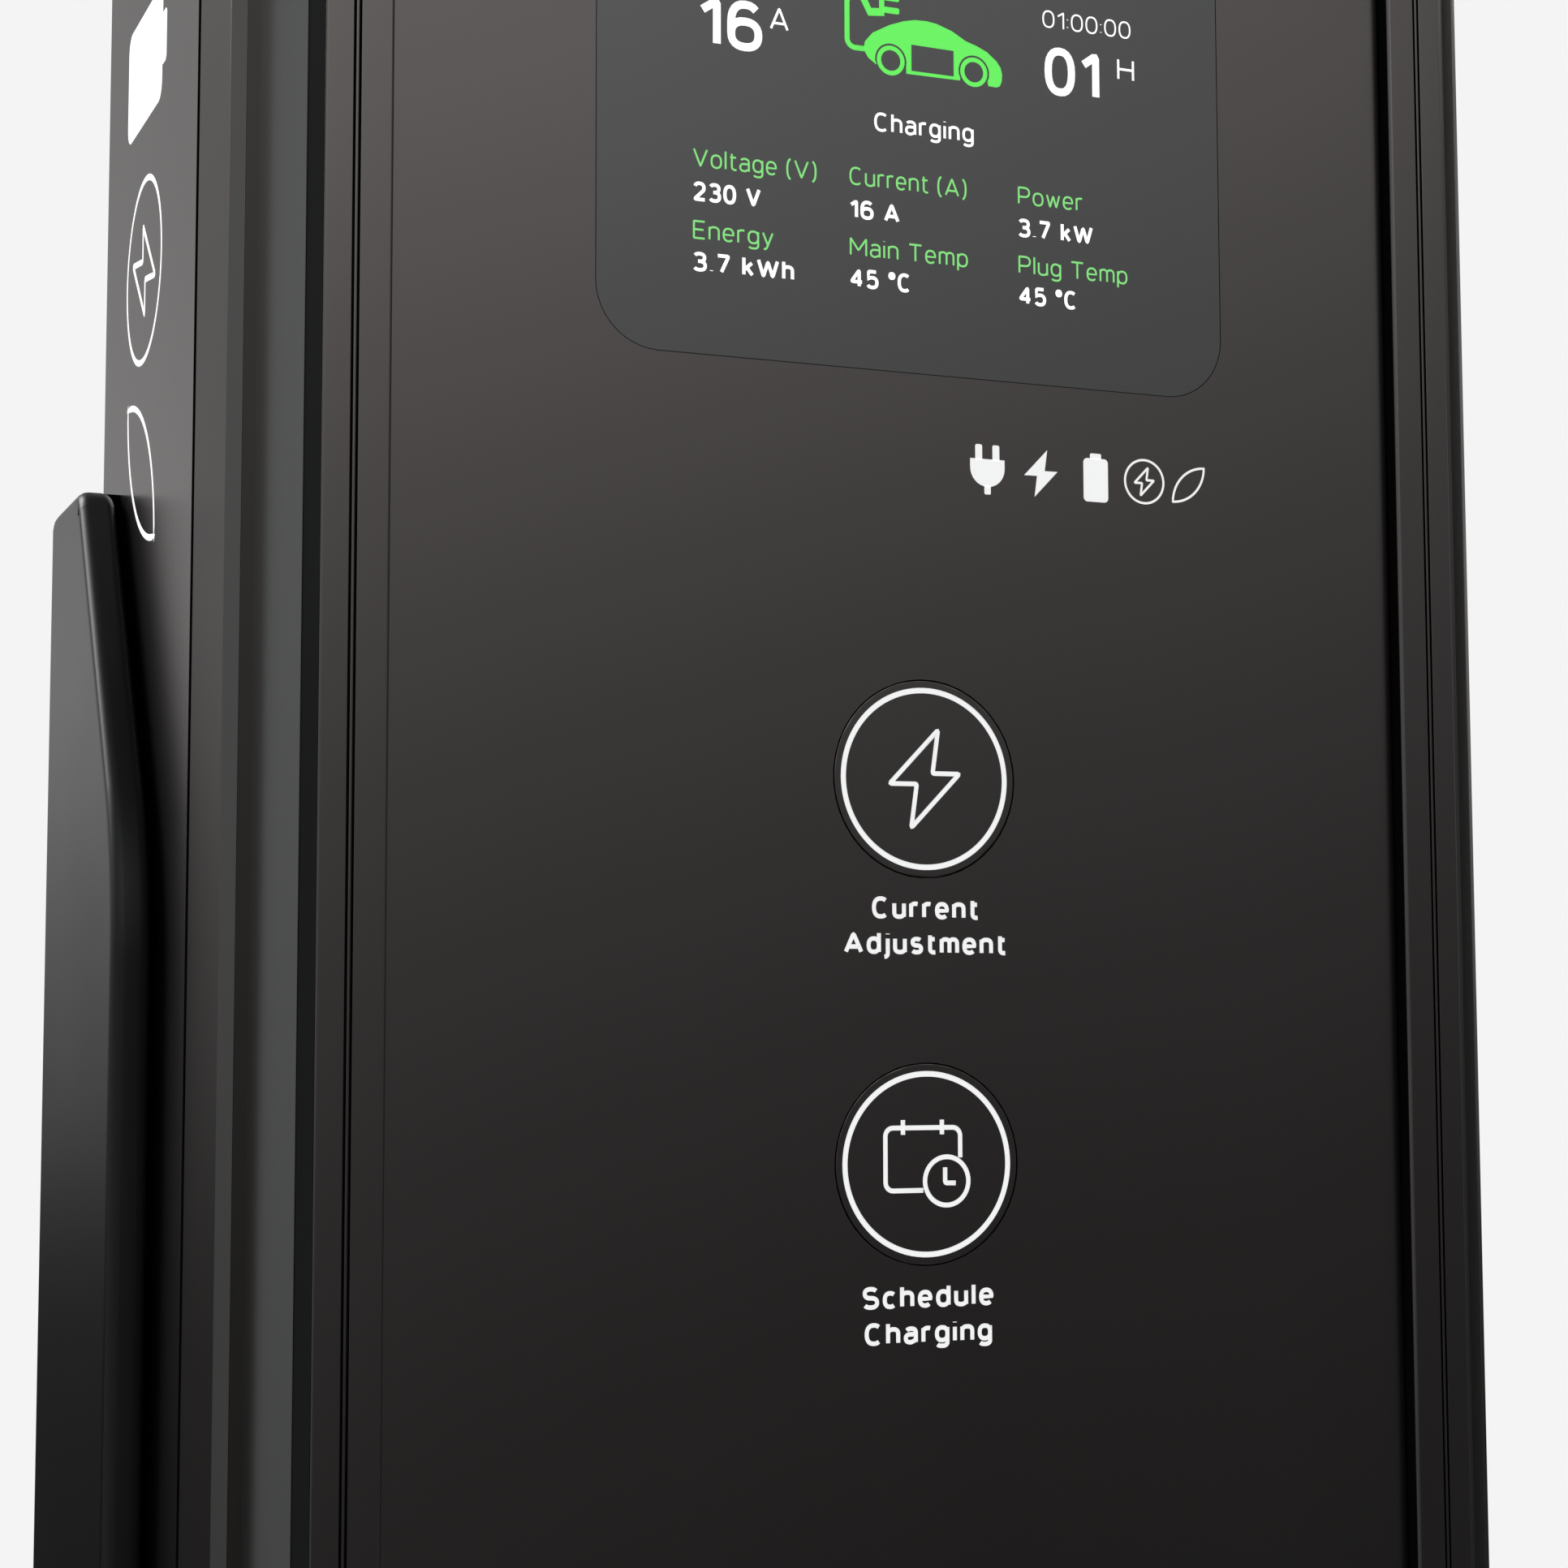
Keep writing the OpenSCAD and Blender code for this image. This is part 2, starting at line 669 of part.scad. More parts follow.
module button_spring() {
    coil(stem_d / 2 + 2.2, 0.5, pb + flange_len + seat_gap + 0.15, pb + housing_len - 3.15, 4);
}
module current_spring() { color([0.7, 0.7, 0.7]) translate([0, 0, button_z]) button_spring(); }
module schedule_spring() { color([0.7, 0.7, 0.7]) translate([0, 0, lower_button_z]) button_spring(); }
board_cz = (button_z + lower_button_z) / 2;
board_h = button_pitch + 52;
module board_holes() {
    for (x = [-1, 1], z = [-1, 1])
        translate([x * 30, 0, board_cz + z * (board_h / 2 - 6)]) children();
}
module switch_board() {
    color([0.05, 0.25, 0.12]) {
        difference() {
            slab(board_y, board_y + board_t) translate([0, board_cz]) rrect(72, board_h, 3);
            board_holes() slab(board_y - 1, board_y + 5) circle(1.7);
        }
        for (z = [button_z, lower_button_z]) translate([0, 0, z]) {
            slab(switch_face + 2.4, board_y) square([12, 12], center = true);
            bar_y(7, switch_face, board_y);
        }
        slab(board_y + board_t, board_y + board_t + 6) translate([0, board_cz])
            square([30, 9], center = true);
    }
}
module switch_standoffs() {
    color([0.65, 0.6, 0.4]) board_holes() {
        slab(pb, board_y) circle(3);
        slab(board_y, board_y + board_t + 0.6) circle(1.5);
        slab(board_y + board_t, board_y + board_t + 2.4) circle(2.9);
    }
}

// ---- socket ----
module socket_screw_points() {
    for (x = [-1, 1], z = [-1, 1])
        translate([x * (flange_w / 2 - 8), 0, socket_z + z * (flange_w / 2 - 8)]) children();
}
lug_x = 24;
lug_w = 9;
module socket_flange() {
    color([0.06, 0.06, 0.065]) difference() {
        union() {
            slab(pf - flange_t, pf) translate([0, socket_z]) rrect(flange_w, flange_w, flange_r);
            // hinge lugs
            for (s = [-1, 1]) side_prism(s * (lug_x + lug_w / 2) - lug_w / 2,
                s * (lug_x + lug_w / 2) + lug_w / 2) {
                translate([hinge_y, hinge_z]) circle(knuckle_r);
                translate([hinge_y, hinge_z - 12]) square([5.5, 12]);
                translate([hinge_y - 2, hinge_z - 12]) square([7.5, 7]);
            }
        }
        translate([0, 0, socket_z]) bar_y(socket_d, pf - flange_t - 1, pf + 1);
        translate([0, 0, socket_z]) slab(pf - flange_t - 1, pf - flange_t + 2) difference() {
            circle(cup_d / 2 + 3.5);
            circle(cup_d / 2 - 0.5);
        }
        translate([-lug_x - lug_w - 1, hinge_y, hinge_z]) rotate([0, 90, 0])
            cylinder(r = pin_d / 2 + pin_clear, h = 2 * (lug_x + lug_w) + 2);
        socket_screw_points() {
            slab(pf - flange_t - 1, pf + 1) circle(2.2);
            slab(pf - flange_t - 1, pf - flange_t + 3.5) circle(4.2);
        }
    }
}
module socket_cup() {
    color([0.06, 0.06, 0.065]) difference() {
        translate([0, 0, socket_z]) bar_y(cup_d, pf, cup_back + 3);
        translate([0, 0, socket_z]) bar_y(socket_d, pf - 1, cup_back);
        // bore for the locking bolt
        translate([0, bolt_y, socket_z + socket_d / 2 - 2])
            cylinder(r = bolt_d / 2 + 0.08, h = 12);
    }
}
module socket_seal() {
    color([0.02, 0.02, 0.02]) translate([0, 0, socket_z])
        slab(pf - flange_t, pf - flange_t + 2) difference() {
            circle(cup_d / 2 + 3.4);
            circle(cup_d / 2 - 0.4);
        }
}
module socket_screws() {
    color([0.5, 0.5, 0.5]) socket_screw_points() {
        difference() {
            slab(pf - flange_t + 0.5, pf - flange_t + 3.5) circle(3.9);
            slab(pf - flange_t, pf - flange_t + 2.4) circle(1.6, $fn = 6);
        }
        slab(pf - flange_t + 3.4, pb + 6) circle(2);
        slab(pb, pb + 3.2) circle(3.9);
    }
}
// contact places round the carrier: [x, z, bore diameter]
contact_pts = [[-8.5, 15, 4.2], [8.5, 15, 4.2], [-16.5, 1, 8], [0, 1, 8], [16.5, 1, 8],
    [-8.5, -14, 8], [8.5, -14, 8]];
insert_front = pf + 6;
module socket_insert() {
    color([0.12, 0.12, 0.125]) translate([0, 0, socket_z]) difference() {
        bar_y(insert_d, insert_front, cup_back);
        for (p = contact_pts) translate([p[0], 0, p[1]])
            bar_y(p[2], insert_front - 1, insert_front + 26);
    }
}
module socket_contacts() {
    color([0.8, 0.75, 0.6]) translate([0, 0, socket_z]) for (p = contact_pts)
        translate([p[0], 0, p[1]]) difference() {
            bar_y(p[2] - 0.4, insert_front + 4, insert_front + 26);
            bar_y(p[2] - 2, insert_front + 3, insert_front + 22);
        }
}
module socket_lid() {
    y1 = lid_y;
    y0 = lid_y - lid_t;
    color([0.06, 0.06, 0.065]) difference() {
        union() {
            slab(y0, y1) translate([0, socket_z]) rrect(flange_w, flange_w, flange_r);
            side_prism(-lug_x + 0.3, lug_x - 0.3) {
                translate([hinge_y, hinge_z]) circle(knuckle_r);
                polygon([[y0, hinge_z - 12], [y1, hinge_z - 12], [y1, hinge_z - 5.4],
                    [hinge_y + 1, hinge_z - 5], [hinge_y - 3, hinge_z + 4], [y0, hinge_z - 5.4]]);
            }
            // finger lip
            slab(y0 - 5, y0 + 1) translate([0, socket_z - flange_w / 2 + 6]) rrect(44, 6, 2.5);
        }
        translate([-lug_x - 1, hinge_y, hinge_z]) rotate([0, 90, 0])
            cylinder(r = pin_d / 2 + 0.1, h = 2 * lug_x + 2);
        // pocket for the spring
        translate([-spring_half - 0.5, hinge_y, hinge_z]) rotate([0, 90, 0])
            cylinder(r = knuckle_r + 1.2, h = 2 * spring_half + 1);
    }
}
module lid_pin() {
    color([0.7, 0.7, 0.7]) translate([-lug_x - lug_w, hinge_y, hinge_z]) rotate([0, 90, 0])
        cylinder(r = pin_d / 2, h = 2 * (lug_x + lug_w));
}
spring_half = 7;
module lid_spring() {
    color([0.7, 0.7, 0.7]) translate([0, hinge_y, hinge_z]) rotate([0, 0, 90])
        coil(pin_d / 2 + 0.85, 0.5, -spring_half, spring_half, 5);
}
bolt_y = pf + 24;
bolt_tip = socket_z + socket_d / 2 + 0.5;
bolt_len = 34;
actuator_z0 = socket_z + cup_d / 2 + 0.2;
module lock_actuator() {
    color([0.1, 0.1, 0.1]) difference() {
        union() {
            box(-22, 22, bolt_y - 15, bolt_y + 17, actuator_z0, actuator_z0 + 46);
            box(-30, 30, pb, bolt_y - 14, actuator_z0 + 20, actuator_z0 + 30);
            for (s = [-1, 1]) box(s * 26 - 4, s * 26 + 4, pb, bolt_y - 8,
                actuator_z0 + 18, actuator_z0 + 32);
        }
        translate([0, bolt_y, actuator_z0 - 1]) cylinder(r = bolt_d / 2 + 0.08, h = bolt_len + 4);
    }
}
module lock_bolt() {
    color([0.6, 0.6, 0.62]) translate([0, bolt_y, bolt_tip]) {
        translate([0, 0, 2]) cylinder(d = bolt_d, h = bolt_len - 2);
        cylinder(d = bolt_d - 1.6, h = 2.5);
    }
}

// ---- equipment inside ----
module standoff_points() {
    for (x = [-1, 1], z = [140, 660, 1180])
        translate([x * (plate_w / 2 - 8), 0, z]) children();
}
plate_z0 = 100;
plate_z1 = 1320;
module mounting_plate() {
    color([0.75, 0.76, 0.77]) difference() {
        slab(plate_y, plate_y + plate_t) translate([0, (plate_z0 + plate_z1) / 2])
            rrect(plate_w, plate_z1 - plate_z0, 4);
        standoff_points() slab(plate_y - 1, plate_y + plate_t + 1) circle(2.7);
    }
}
module plate_standoffs() {
    y1 = front + body_d - wall;
    color([0.7, 0.7, 0.7]) standoff_points() {
        slab(plate_y + plate_t, y1) circle(6);
        slab(plate_y - 0.5, plate_y + plate_t + 0.5) circle(2.5);
        slab(plate_y - 4, plate_y) circle(5);
        slab(y1 - 0.5, y1 + wall) circle(2);
    }
}
row_zs = [300, breaker_z, 600];
row_x1 = half - inner_wall_u - 1;   // right end of the rows, clear of the rail's box
module din_rails() {
    color([0.75, 0.75, 0.76]) for (z = row_zs) side_prism(row_x1 - 143, row_x1) {
        translate([rail_front, z - rail_h / 2]) square([1, 5]);
        translate([rail_front, z + rail_h / 2 - 5]) square([1, 5]);
        for (s = [-1, 1]) translate([rail_front, z + s * 13 - 0.5]) square([rail_t, 1]);
        translate([rail_front + rail_t - 1, z - 13.5]) square([1, 27]);
    }
}
nose_y = rail_front - device_d - nose_d;
hub_r = 5;
hub_y = nose_y + 4;
module breaker_body(x0, x1, lx0, lx1) {
    z = breaker_z;
    difference() {
        side_prism(x0, x1) polygon([[rail_front, z - 42], [rail_front, z + 42],
            [rail_front - device_d, z + 42], [rail_front - device_d, z + 22.5],
            [nose_y, z + 22.5], [nose_y, z - 22.5], [rail_front - device_d, z - 22.5],
            [rail_front - device_d, z - 42]]);
        translate([lx0 - 0.3, hub_y, z]) rotate([0, 90, 0])
            cylinder(r = hub_r + 0.1, h = lx1 - lx0 + 0.6);
        box(lx0 - 0.3, lx1 + 0.3, nose_y - 1, hub_y, z - 8, z + 8);
        for (i = [0:3]) translate([x0 + (i + 0.5) * (x1 - x0) / 4, 0, 0])
            for (s = [-1, 1]) translate([0, 0, z + s * 33])
                bar_y(6, rail_front - device_d - 1, rail_front - device_d + 8);
    }
}
module lever(lx0, lx1) {
    translate([0, hub_y, breaker_z]) rotate([-lever_swing, 0, 0])
        side_prism(lx0, lx1) {
            circle(hub_r);
            translate([-hub_r - 11, -2.5]) square([14, 5]);
        }
}
main_x = [row_x1 - 142, row_x1 - 70];
main_lever_x = [main_x[0] + 5, main_x[1] - 5];
res_x = [row_x1 - 69.5, row_x1];
res_lever_x = [res_x[0] + 5.5, res_x[0] + 29.5];
module main_breaker() {
    color([0.8, 0.8, 0.79]) breaker_body(main_x[0], main_x[1], main_lever_x[0], main_lever_x[1]);
}
module breaker_lever() { color([0.05, 0.05, 0.05]) lever(main_lever_x[0], main_lever_x[1]); }
test_x = row_x1 - 19;
module residual_breaker() {
    color([0.8, 0.8, 0.79]) difference() {
        breaker_body(res_x[0], res_x[1], res_lever_x[0], res_lever_x[1]);
        translate([test_x, 0, breaker_z + 8]) bar_y(8.1, nose_y - 1, nose_y + 8);
    }
}
module residual_lever() { color([0.1, 0.2, 0.5]) lever(res_lever_x[0], res_lever_x[1]); }
module test_button() {
    color([0.9, 0.75, 0.1]) translate([test_x, 0, breaker_z + 8]) bar_y(8, nose_y - 1.5, nose_y + 6.3);
}
module contactor() {
    z = row_zs[2];
    color([0.78, 0.78, 0.77]) {
        box(-62, -6, rail_front - device_d, rail_front, z - 42, z + 42);
        box(-56, -12, rail_front - device_d - nose_d, rail_front - device_d, z - 22, z + 22);
        for (i = [0:3], s = [-1, 1]) translate([-55 + 14 * i, 0, z + s * 33])
            bar_y(7, rail_front - device_d - 2, rail_front - device_d + 1);
    }
}
module energy_meter() {
    z = row_zs[2];
    color([0.82, 0.82, 0.81]) difference() {
        union() {
            box(-4, 68, rail_front - device_d, rail_front, z - 45, z + 45);
            box(-4, 68, rail_front - device_d - nose_d, rail_front - device_d, z - 22, z + 24);
        }
        box(12, 52, rail_front - device_d - nose_d - 1, rail_front - device_d - nose_d + 1.5,
            z, z + 16);
    }
}
module terminal_block() {
    z = row_zs[0];
    color([0.55, 0.56, 0.58]) for (i = [0:7]) difference() {
        box(-62 + 12 * i, -62 + 12 * i + 11.8, rail_front - 38, rail_front, z - 30, z + 30);
        for (s = [-1, 1]) translate([-56 + 12 * i, 0, z + s * 18])
            bar_y(6, rail_front - 39, rail_front - 26);
    }
}
module earth_bar() {
    z = 190;
    color([0.78, 0.62, 0.3]) {
        difference() {
            box(-50, 80, plate_y - 18, plate_y - 8, z - 6, z + 6);
            for (i = [0:8]) translate([-40 + 13.5 * i, plate_y - 13, z - 7]) cylinder(r = 3, h = 14);
        }
        for (x = [-45, 75]) translate([x, 0, z]) bar_y(9, plate_y - 8, plate_y);
    }
}
control_z = 1080;
module control_board() {
    z = control_z;
    y = plate_y - 15;
    color([0.05, 0.25, 0.12]) {
        difference() {
            slab(y - board_t, y) translate([0, z]) rrect(140, 170, 3);
        }
        for (x = [-1, 1], s = [-1, 1]) translate([x * 63, 0, z + s * 78]) {
            bar_y(6, y - 0.2, plate_y);
            bar_y(5.5, y - board_t - 2, y - board_t);
        }
        for (i = [0:4]) box(-60 + 25 * i, -40 + 25 * i, y - board_t - 12, y - board_t, z - 82, z - 70);
        box(-15, 15, y - board_t - 2, y - board_t, z - 10, z + 20);
        for (i = [0:1]) box(-58, -30, y - board_t - 16, y - board_t, z - 30 + 44 * i, z + 2 + 44 * i);
        for (i = [0:2]) translate([40 + 9 * i - 9, 0, z + 40]) bar_y(8, y - board_t - 14, y - board_t);
    }
}
module power_supply() {
    z = 1240;
    color([0.7, 0.71, 0.72]) difference() {
        box(-70, 70, plate_y - 38, plate_y, z - 45, z + 45);
        for (i = [0:9]) box(-60 + 12 * i, -54 + 12 * i, plate_y - 39, plate_y - 36, z - 10, z + 30);
        box(-62, 62, plate_y - 39, plate_y - 20, z - 46, z - 32);
    }
}
module cable_gland() {
    color([0.1, 0.1, 0.1]) difference() {
        union() {
            translate([0, 0, base_t]) cylinder(d = entry_d + 24, h = 5);
            translate([0, 0, base_t + 4.9]) cylinder(d = entry_d - 4, h = 18);
            translate([0, 0, base_t + 10]) cylinder(d = entry_d + 6, h = 16, $fn = 6);
            translate([0, 0, base_t + 24]) cylinder(d1 = entry_d - 6, d2 = entry_d - 18, h = 12);
            translate([0, 0, 2]) cylinder(d = entry_d - 0.6, h = base_t);
        }
        translate([0, 0, 0]) cylinder(d = 34, h = base_t + 60);
    }
}
duct_x0 = -plate_w / 2 + 4;
duct_w = 24;
duct_d = 40;
duct_z0 = 220;
duct_z1 = 640;
module wire_duct() {
    color([0.6, 0.6, 0.6]) difference() {
        box(duct_x0, duct_x0 + duct_w, plate_y - duct_d, plate_y, duct_z0, duct_z1);
        box(duct_x0 + 1.8, duct_x0 + duct_w - 1.8, plate_y - duct_d - 1, plate_y - 1.8,
            duct_z0 - 1, duct_z1 + 1);
        for (z = [duct_z0 + 12:16:duct_z1 - 12])
            box(duct_x0 - 1, duct_x0 + duct_w + 1, plate_y - duct_d - 1, plate_y - 12, z, z + 7);
    }
}
module duct_cover() {
    color([0.62, 0.62, 0.62])
        box(duct_x0, duct_x0 + duct_w, plate_y - duct_d - 1.5, plate_y - duct_d, duct_z0, duct_z1);
}

base_plate();
pedestal_channel();
channel_pads();
channel_screws();
rear_body();
left_rail();
right_rail();
left_infill();
right_infill();
panel_gaskets();
fascia_panel();
fascia_clips();
socket_panel();
service_cover();
panel_screws();
cross_bars();
top_cap();
cap_gasket();
cap_screws();
foot_screws();
display_glass();
display_frame();
lcd_module();
display_board();
current_button();
schedule_button();
button_housings();
current_spring();
schedule_spring();
switch_board();
switch_standoffs();
socket_flange();
socket_cup();
socket_seal();
socket_insert();
socket_contacts();
socket_screws();
socket_lid();
lid_pin();
lid_spring();
lock_actuator();
lock_bolt();
mounting_plate();
plate_standoffs();
din_rails();
main_breaker();
breaker_lever();
residual_breaker();
residual_lever();
test_button();
contactor();
energy_meter();
terminal_block();
earth_bar();
control_board();
power_supply();
cable_gland();
wire_duct();
duct_cover();
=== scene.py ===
"""A charging post for electric vehicles: its finishes, soft edges, screen, printed marks and
studio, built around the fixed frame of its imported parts. All lengths in the code are metres,
except that marks are drawn in millimetres as (x, z), seen from the front."""
import json
import math

import bmesh
import bpy
from bpy.props import FloatProperty, FloatVectorProperty, PointerProperty
from mathutils import Matrix, Vector


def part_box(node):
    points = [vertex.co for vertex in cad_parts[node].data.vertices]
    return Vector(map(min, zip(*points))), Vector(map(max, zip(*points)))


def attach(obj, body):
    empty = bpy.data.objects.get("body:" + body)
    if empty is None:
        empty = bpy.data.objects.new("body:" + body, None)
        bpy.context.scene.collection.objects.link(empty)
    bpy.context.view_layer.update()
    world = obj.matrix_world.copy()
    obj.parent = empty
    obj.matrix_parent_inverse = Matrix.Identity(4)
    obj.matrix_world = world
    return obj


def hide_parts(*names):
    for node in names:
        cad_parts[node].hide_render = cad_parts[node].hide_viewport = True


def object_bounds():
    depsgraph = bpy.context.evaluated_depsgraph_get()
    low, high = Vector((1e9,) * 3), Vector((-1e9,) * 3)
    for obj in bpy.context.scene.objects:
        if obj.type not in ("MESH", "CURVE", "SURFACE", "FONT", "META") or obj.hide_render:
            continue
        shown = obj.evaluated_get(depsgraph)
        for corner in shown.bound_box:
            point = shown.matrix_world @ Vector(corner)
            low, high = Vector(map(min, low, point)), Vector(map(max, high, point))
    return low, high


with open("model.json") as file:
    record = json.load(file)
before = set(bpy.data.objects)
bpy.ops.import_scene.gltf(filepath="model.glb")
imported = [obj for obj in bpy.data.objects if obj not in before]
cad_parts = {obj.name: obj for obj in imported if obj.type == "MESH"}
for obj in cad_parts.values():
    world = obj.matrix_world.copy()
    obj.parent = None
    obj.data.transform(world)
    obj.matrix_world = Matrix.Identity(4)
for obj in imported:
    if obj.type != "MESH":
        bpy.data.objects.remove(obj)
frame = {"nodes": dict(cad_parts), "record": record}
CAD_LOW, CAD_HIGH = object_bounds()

bl_info = {
    "name": "Charging Post",
    "version": (1, 0, 0),
    "blender": (4, 5, 0),
    "location": "View3D > Sidebar > Charging Post",
    "description": "Finishes, edges, screen and printed marks of an electric vehicle charging post",
    "category": "Object",
}

MM = 0.001
NODES = frame["nodes"]
POST = "post"
PANEL_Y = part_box("fascia_panel")[0].y
GLASS_LOW, GLASS_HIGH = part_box("display_glass")
SIDE_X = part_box("rear_body")[0].x
FRONT_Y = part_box("left_rail")[0].y


def middle(node):
    """The centre of a node's box."""
    low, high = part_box(node)
    return (low + high) / 2


CURRENT_Z = middle("current_button").z
SCHEDULE_Z = middle("schedule_button").z


# ---- settings ----
class POST_PG_finish(bpy.types.PropertyGroup):
    """Colours and gloss of the post's finishes."""

    anodised: FloatVectorProperty(
        name="Anodised", description="Reflected tint of the dark anodised aluminium",
        default=(0.190, 0.175, 0.171), size=3, subtype="COLOR", min=0, max=1)
    anodised_gloss: FloatProperty(
        name="Anodised Roughness", description="Roughness of the satin anodising",
        default=0.25, min=0.05, max=1, subtype="FACTOR")
    powder: FloatVectorProperty(
        name="Powder Coat", description="Colour of the pedestal's black powder coat",
        default=(0.0065, 0.0062, 0.0062), size=3, subtype="COLOR", min=0, max=1)
    print_white: FloatVectorProperty(
        name="Print", description="Colour of the printed marks",
        default=(0.95, 0.95, 0.95), size=3, subtype="COLOR", min=0, max=1)
    screen_green: FloatVectorProperty(
        name="Screen Green", description="Colour of the lit labels on the screen",
        default=(0.125, 0.765, 0.106), size=3, subtype="COLOR", min=0, max=1)
    paper: FloatVectorProperty(
        name="Background", description="Colour of the studio's backdrop",
        default=(0.905, 0.905, 0.905), size=3, subtype="COLOR", min=0, max=1)


class POST_PG_size(bpy.types.PropertyGroup):
    """Sizes of the pieces that are finished here."""

    pedestal_edge: FloatProperty(
        name="Pedestal Edge", description="Rounding of the pedestal channel's edges",
        default=2.0 * MM, min=0.1 * MM, max=2.5 * MM, unit="LENGTH")
    moulded_edge: FloatProperty(
        name="Moulded Edge", description="Rounding of the socket's moulded edges",
        default=0.8 * MM, min=0.1 * MM, max=1.5 * MM, unit="LENGTH")
    sheet_edge: FloatProperty(
        name="Sheet Edge", description="Rounding of the panels' and cap's edges",
        default=0.25 * MM, min=0.05 * MM, max=0.6 * MM, unit="LENGTH")
    extruded_edge: FloatProperty(
        name="Extruded Edge", description="Rounding of the extrusions' long edges",
        default=0.12 * MM, min=0.02 * MM, max=0.16 * MM, unit="LENGTH")
    mark_thickness: FloatProperty(
        name="Mark Thickness", description="Height of the printed marks above the surface",
        default=0.03 * MM, min=0.01 * MM, max=0.1 * MM, unit="LENGTH")
    ring_diameter: FloatProperty(
        name="Ring", description="Outer diameter of the ring on a button",
        default=28.18 * MM, min=20 * MM, max=29.5 * MM, unit="LENGTH")
    ring_line: FloatProperty(
        name="Ring Line", description="Line width of the ring on a button",
        default=0.85 * MM, min=0.3 * MM, max=1.5 * MM, unit="LENGTH")
    icon_line: FloatProperty(
        name="Icon Line", description="Line width of the icons on the buttons",
        default=0.74 * MM, min=0.3 * MM, max=1.2 * MM, unit="LENGTH")


def finish_of():
    return bpy.context.scene.post_finish


def size_of():
    return bpy.context.scene.post_size


def link(obj):
    bpy.context.scene.collection.objects.link(obj)
    return obj


# ---- shader groups ----
def add_node(tree, kind, inputs=(), **settings):
    """A shader node with its settings and its inputs, each a socket to link or a value."""
    node = tree.nodes.new("ShaderNode" + kind)
    for name, value in settings.items():
        setattr(node, name, value)
    for name, value in dict(inputs).items():
        if isinstance(value, bpy.types.NodeSocket):
            tree.links.new(value, node.inputs[name])
        else:
            node.inputs[name].default_value = value
    return node


def worked(tree, operation, *values):
    """The outcome of a sum on sockets and numbers."""
    return add_node(tree, "Math", enumerate(values), operation=operation).outputs[0]


def scaled(tree, color, factor):
    """A colour times a number."""
    return add_node(tree, "VectorMath", {0: color, "Scale": factor},
                    operation="SCALE").outputs["Vector"]


def mixed(tree, factor, one, two):
    """A colour between two others."""
    return add_node(tree, "Mix", {0: factor, 6: one, 7: two}, data_type="RGBA").outputs[2]


def new_group(name, inputs, outputs):
    """An empty group with named sockets, its inputs and the node that takes its outputs."""
    group = bpy.data.node_groups.new(name, "ShaderNodeTree")
    for label, kind, value in inputs:
        socket = group.interface.new_socket(name=label, in_out="INPUT",
                                            socket_type="NodeSocket" + kind)
        if value is not None:
            socket.default_value = value
    for label, kind in outputs:
        group.interface.new_socket(name=label, in_out="OUTPUT", socket_type="NodeSocket" + kind)
    return group, group.nodes.new("NodeGroupInput").outputs, group.nodes.new("NodeGroupOutput")


def grain_group():
    """Fine and broad variation of a surface: a roughness and a height."""
    if "surface grain" in bpy.data.node_groups:
        return bpy.data.node_groups["surface grain"]
    group, given, out = new_group(
        "surface grain",
        (("Vector", "Vector", None), ("Fine Scale", "Float", 2500.0),
         ("Broad Scale", "Float", 12.0), ("Rough Low", "Float", 0.32),
         ("Rough High", "Float", 0.4)),
        (("Roughness", "Float"), ("Height", "Float")))
    fine = add_node(group, "TexNoise", {
        "Vector": given["Vector"], "Scale": given["Fine Scale"], "Detail": 3.0})
    broad = add_node(group, "TexNoise", {
        "Vector": given["Vector"], "Scale": given["Broad Scale"], "Detail": 5.0})
    spread = add_node(group, "MapRange", {
        "Value": broad.outputs["Fac"], "From Min": 0.3, "From Max": 0.7,
        "To Min": given["Rough Low"], "To Max": given["Rough High"]})
    group.links.new(spread.outputs["Result"], out.inputs["Roughness"])
    group.links.new(fine.outputs["Fac"], out.inputs["Height"])
    return group


def weather_group():
    """Dust that lies thicker near the ground, and a slow drift of tone, over a base colour."""
    if "weathering" in bpy.data.node_groups:
        return bpy.data.node_groups["weathering"]
    group, given, out = new_group(
        "weathering",
        (("Vector", "Vector", None), ("Base", "Color", (0.2, 0.2, 0.2, 1)),
         ("Dust", "Color", (0.3, 0.28, 0.25, 1)), ("Dust Amount", "Float", 0.1),
         ("Dust Height", "Float", 0.35), ("Tone Drift", "Float", 0.04)),
        (("Color", "Color"),))
    parts = add_node(group, "SeparateXYZ", {"Vector": given["Vector"]})
    fade = add_node(group, "MapRange", {
        "Value": parts.outputs["Z"], "From Max": given["Dust Height"], "To Min": 1.0,
        "To Max": 0.0}, interpolation_type="SMOOTHSTEP")
    speck = add_node(group, "TexNoise", {
        "Vector": given["Vector"], "Scale": 90.0, "Detail": 8.0, "Roughness": 0.7})
    patch = add_node(group, "MapRange", {
        "Value": speck.outputs["Fac"], "From Min": 0.42, "From Max": 0.68})
    cover = worked(group, "MULTIPLY", fade.outputs["Result"], patch.outputs["Result"])
    amount = worked(group, "MULTIPLY", cover, given["Dust Amount"])
    drift = add_node(group, "TexNoise", {
        "Vector": given["Vector"], "Scale": 7.0, "Detail": 4.0})
    centred = worked(group, "SUBTRACT", drift.outputs["Fac"], 0.5)
    tone = worked(group, "MULTIPLY_ADD", centred, given["Tone Drift"], 1.0)
    toned = scaled(group, given["Base"], tone)
    group.links.new(mixed(group, amount, toned, given["Dust"]), out.inputs["Color"])
    return group


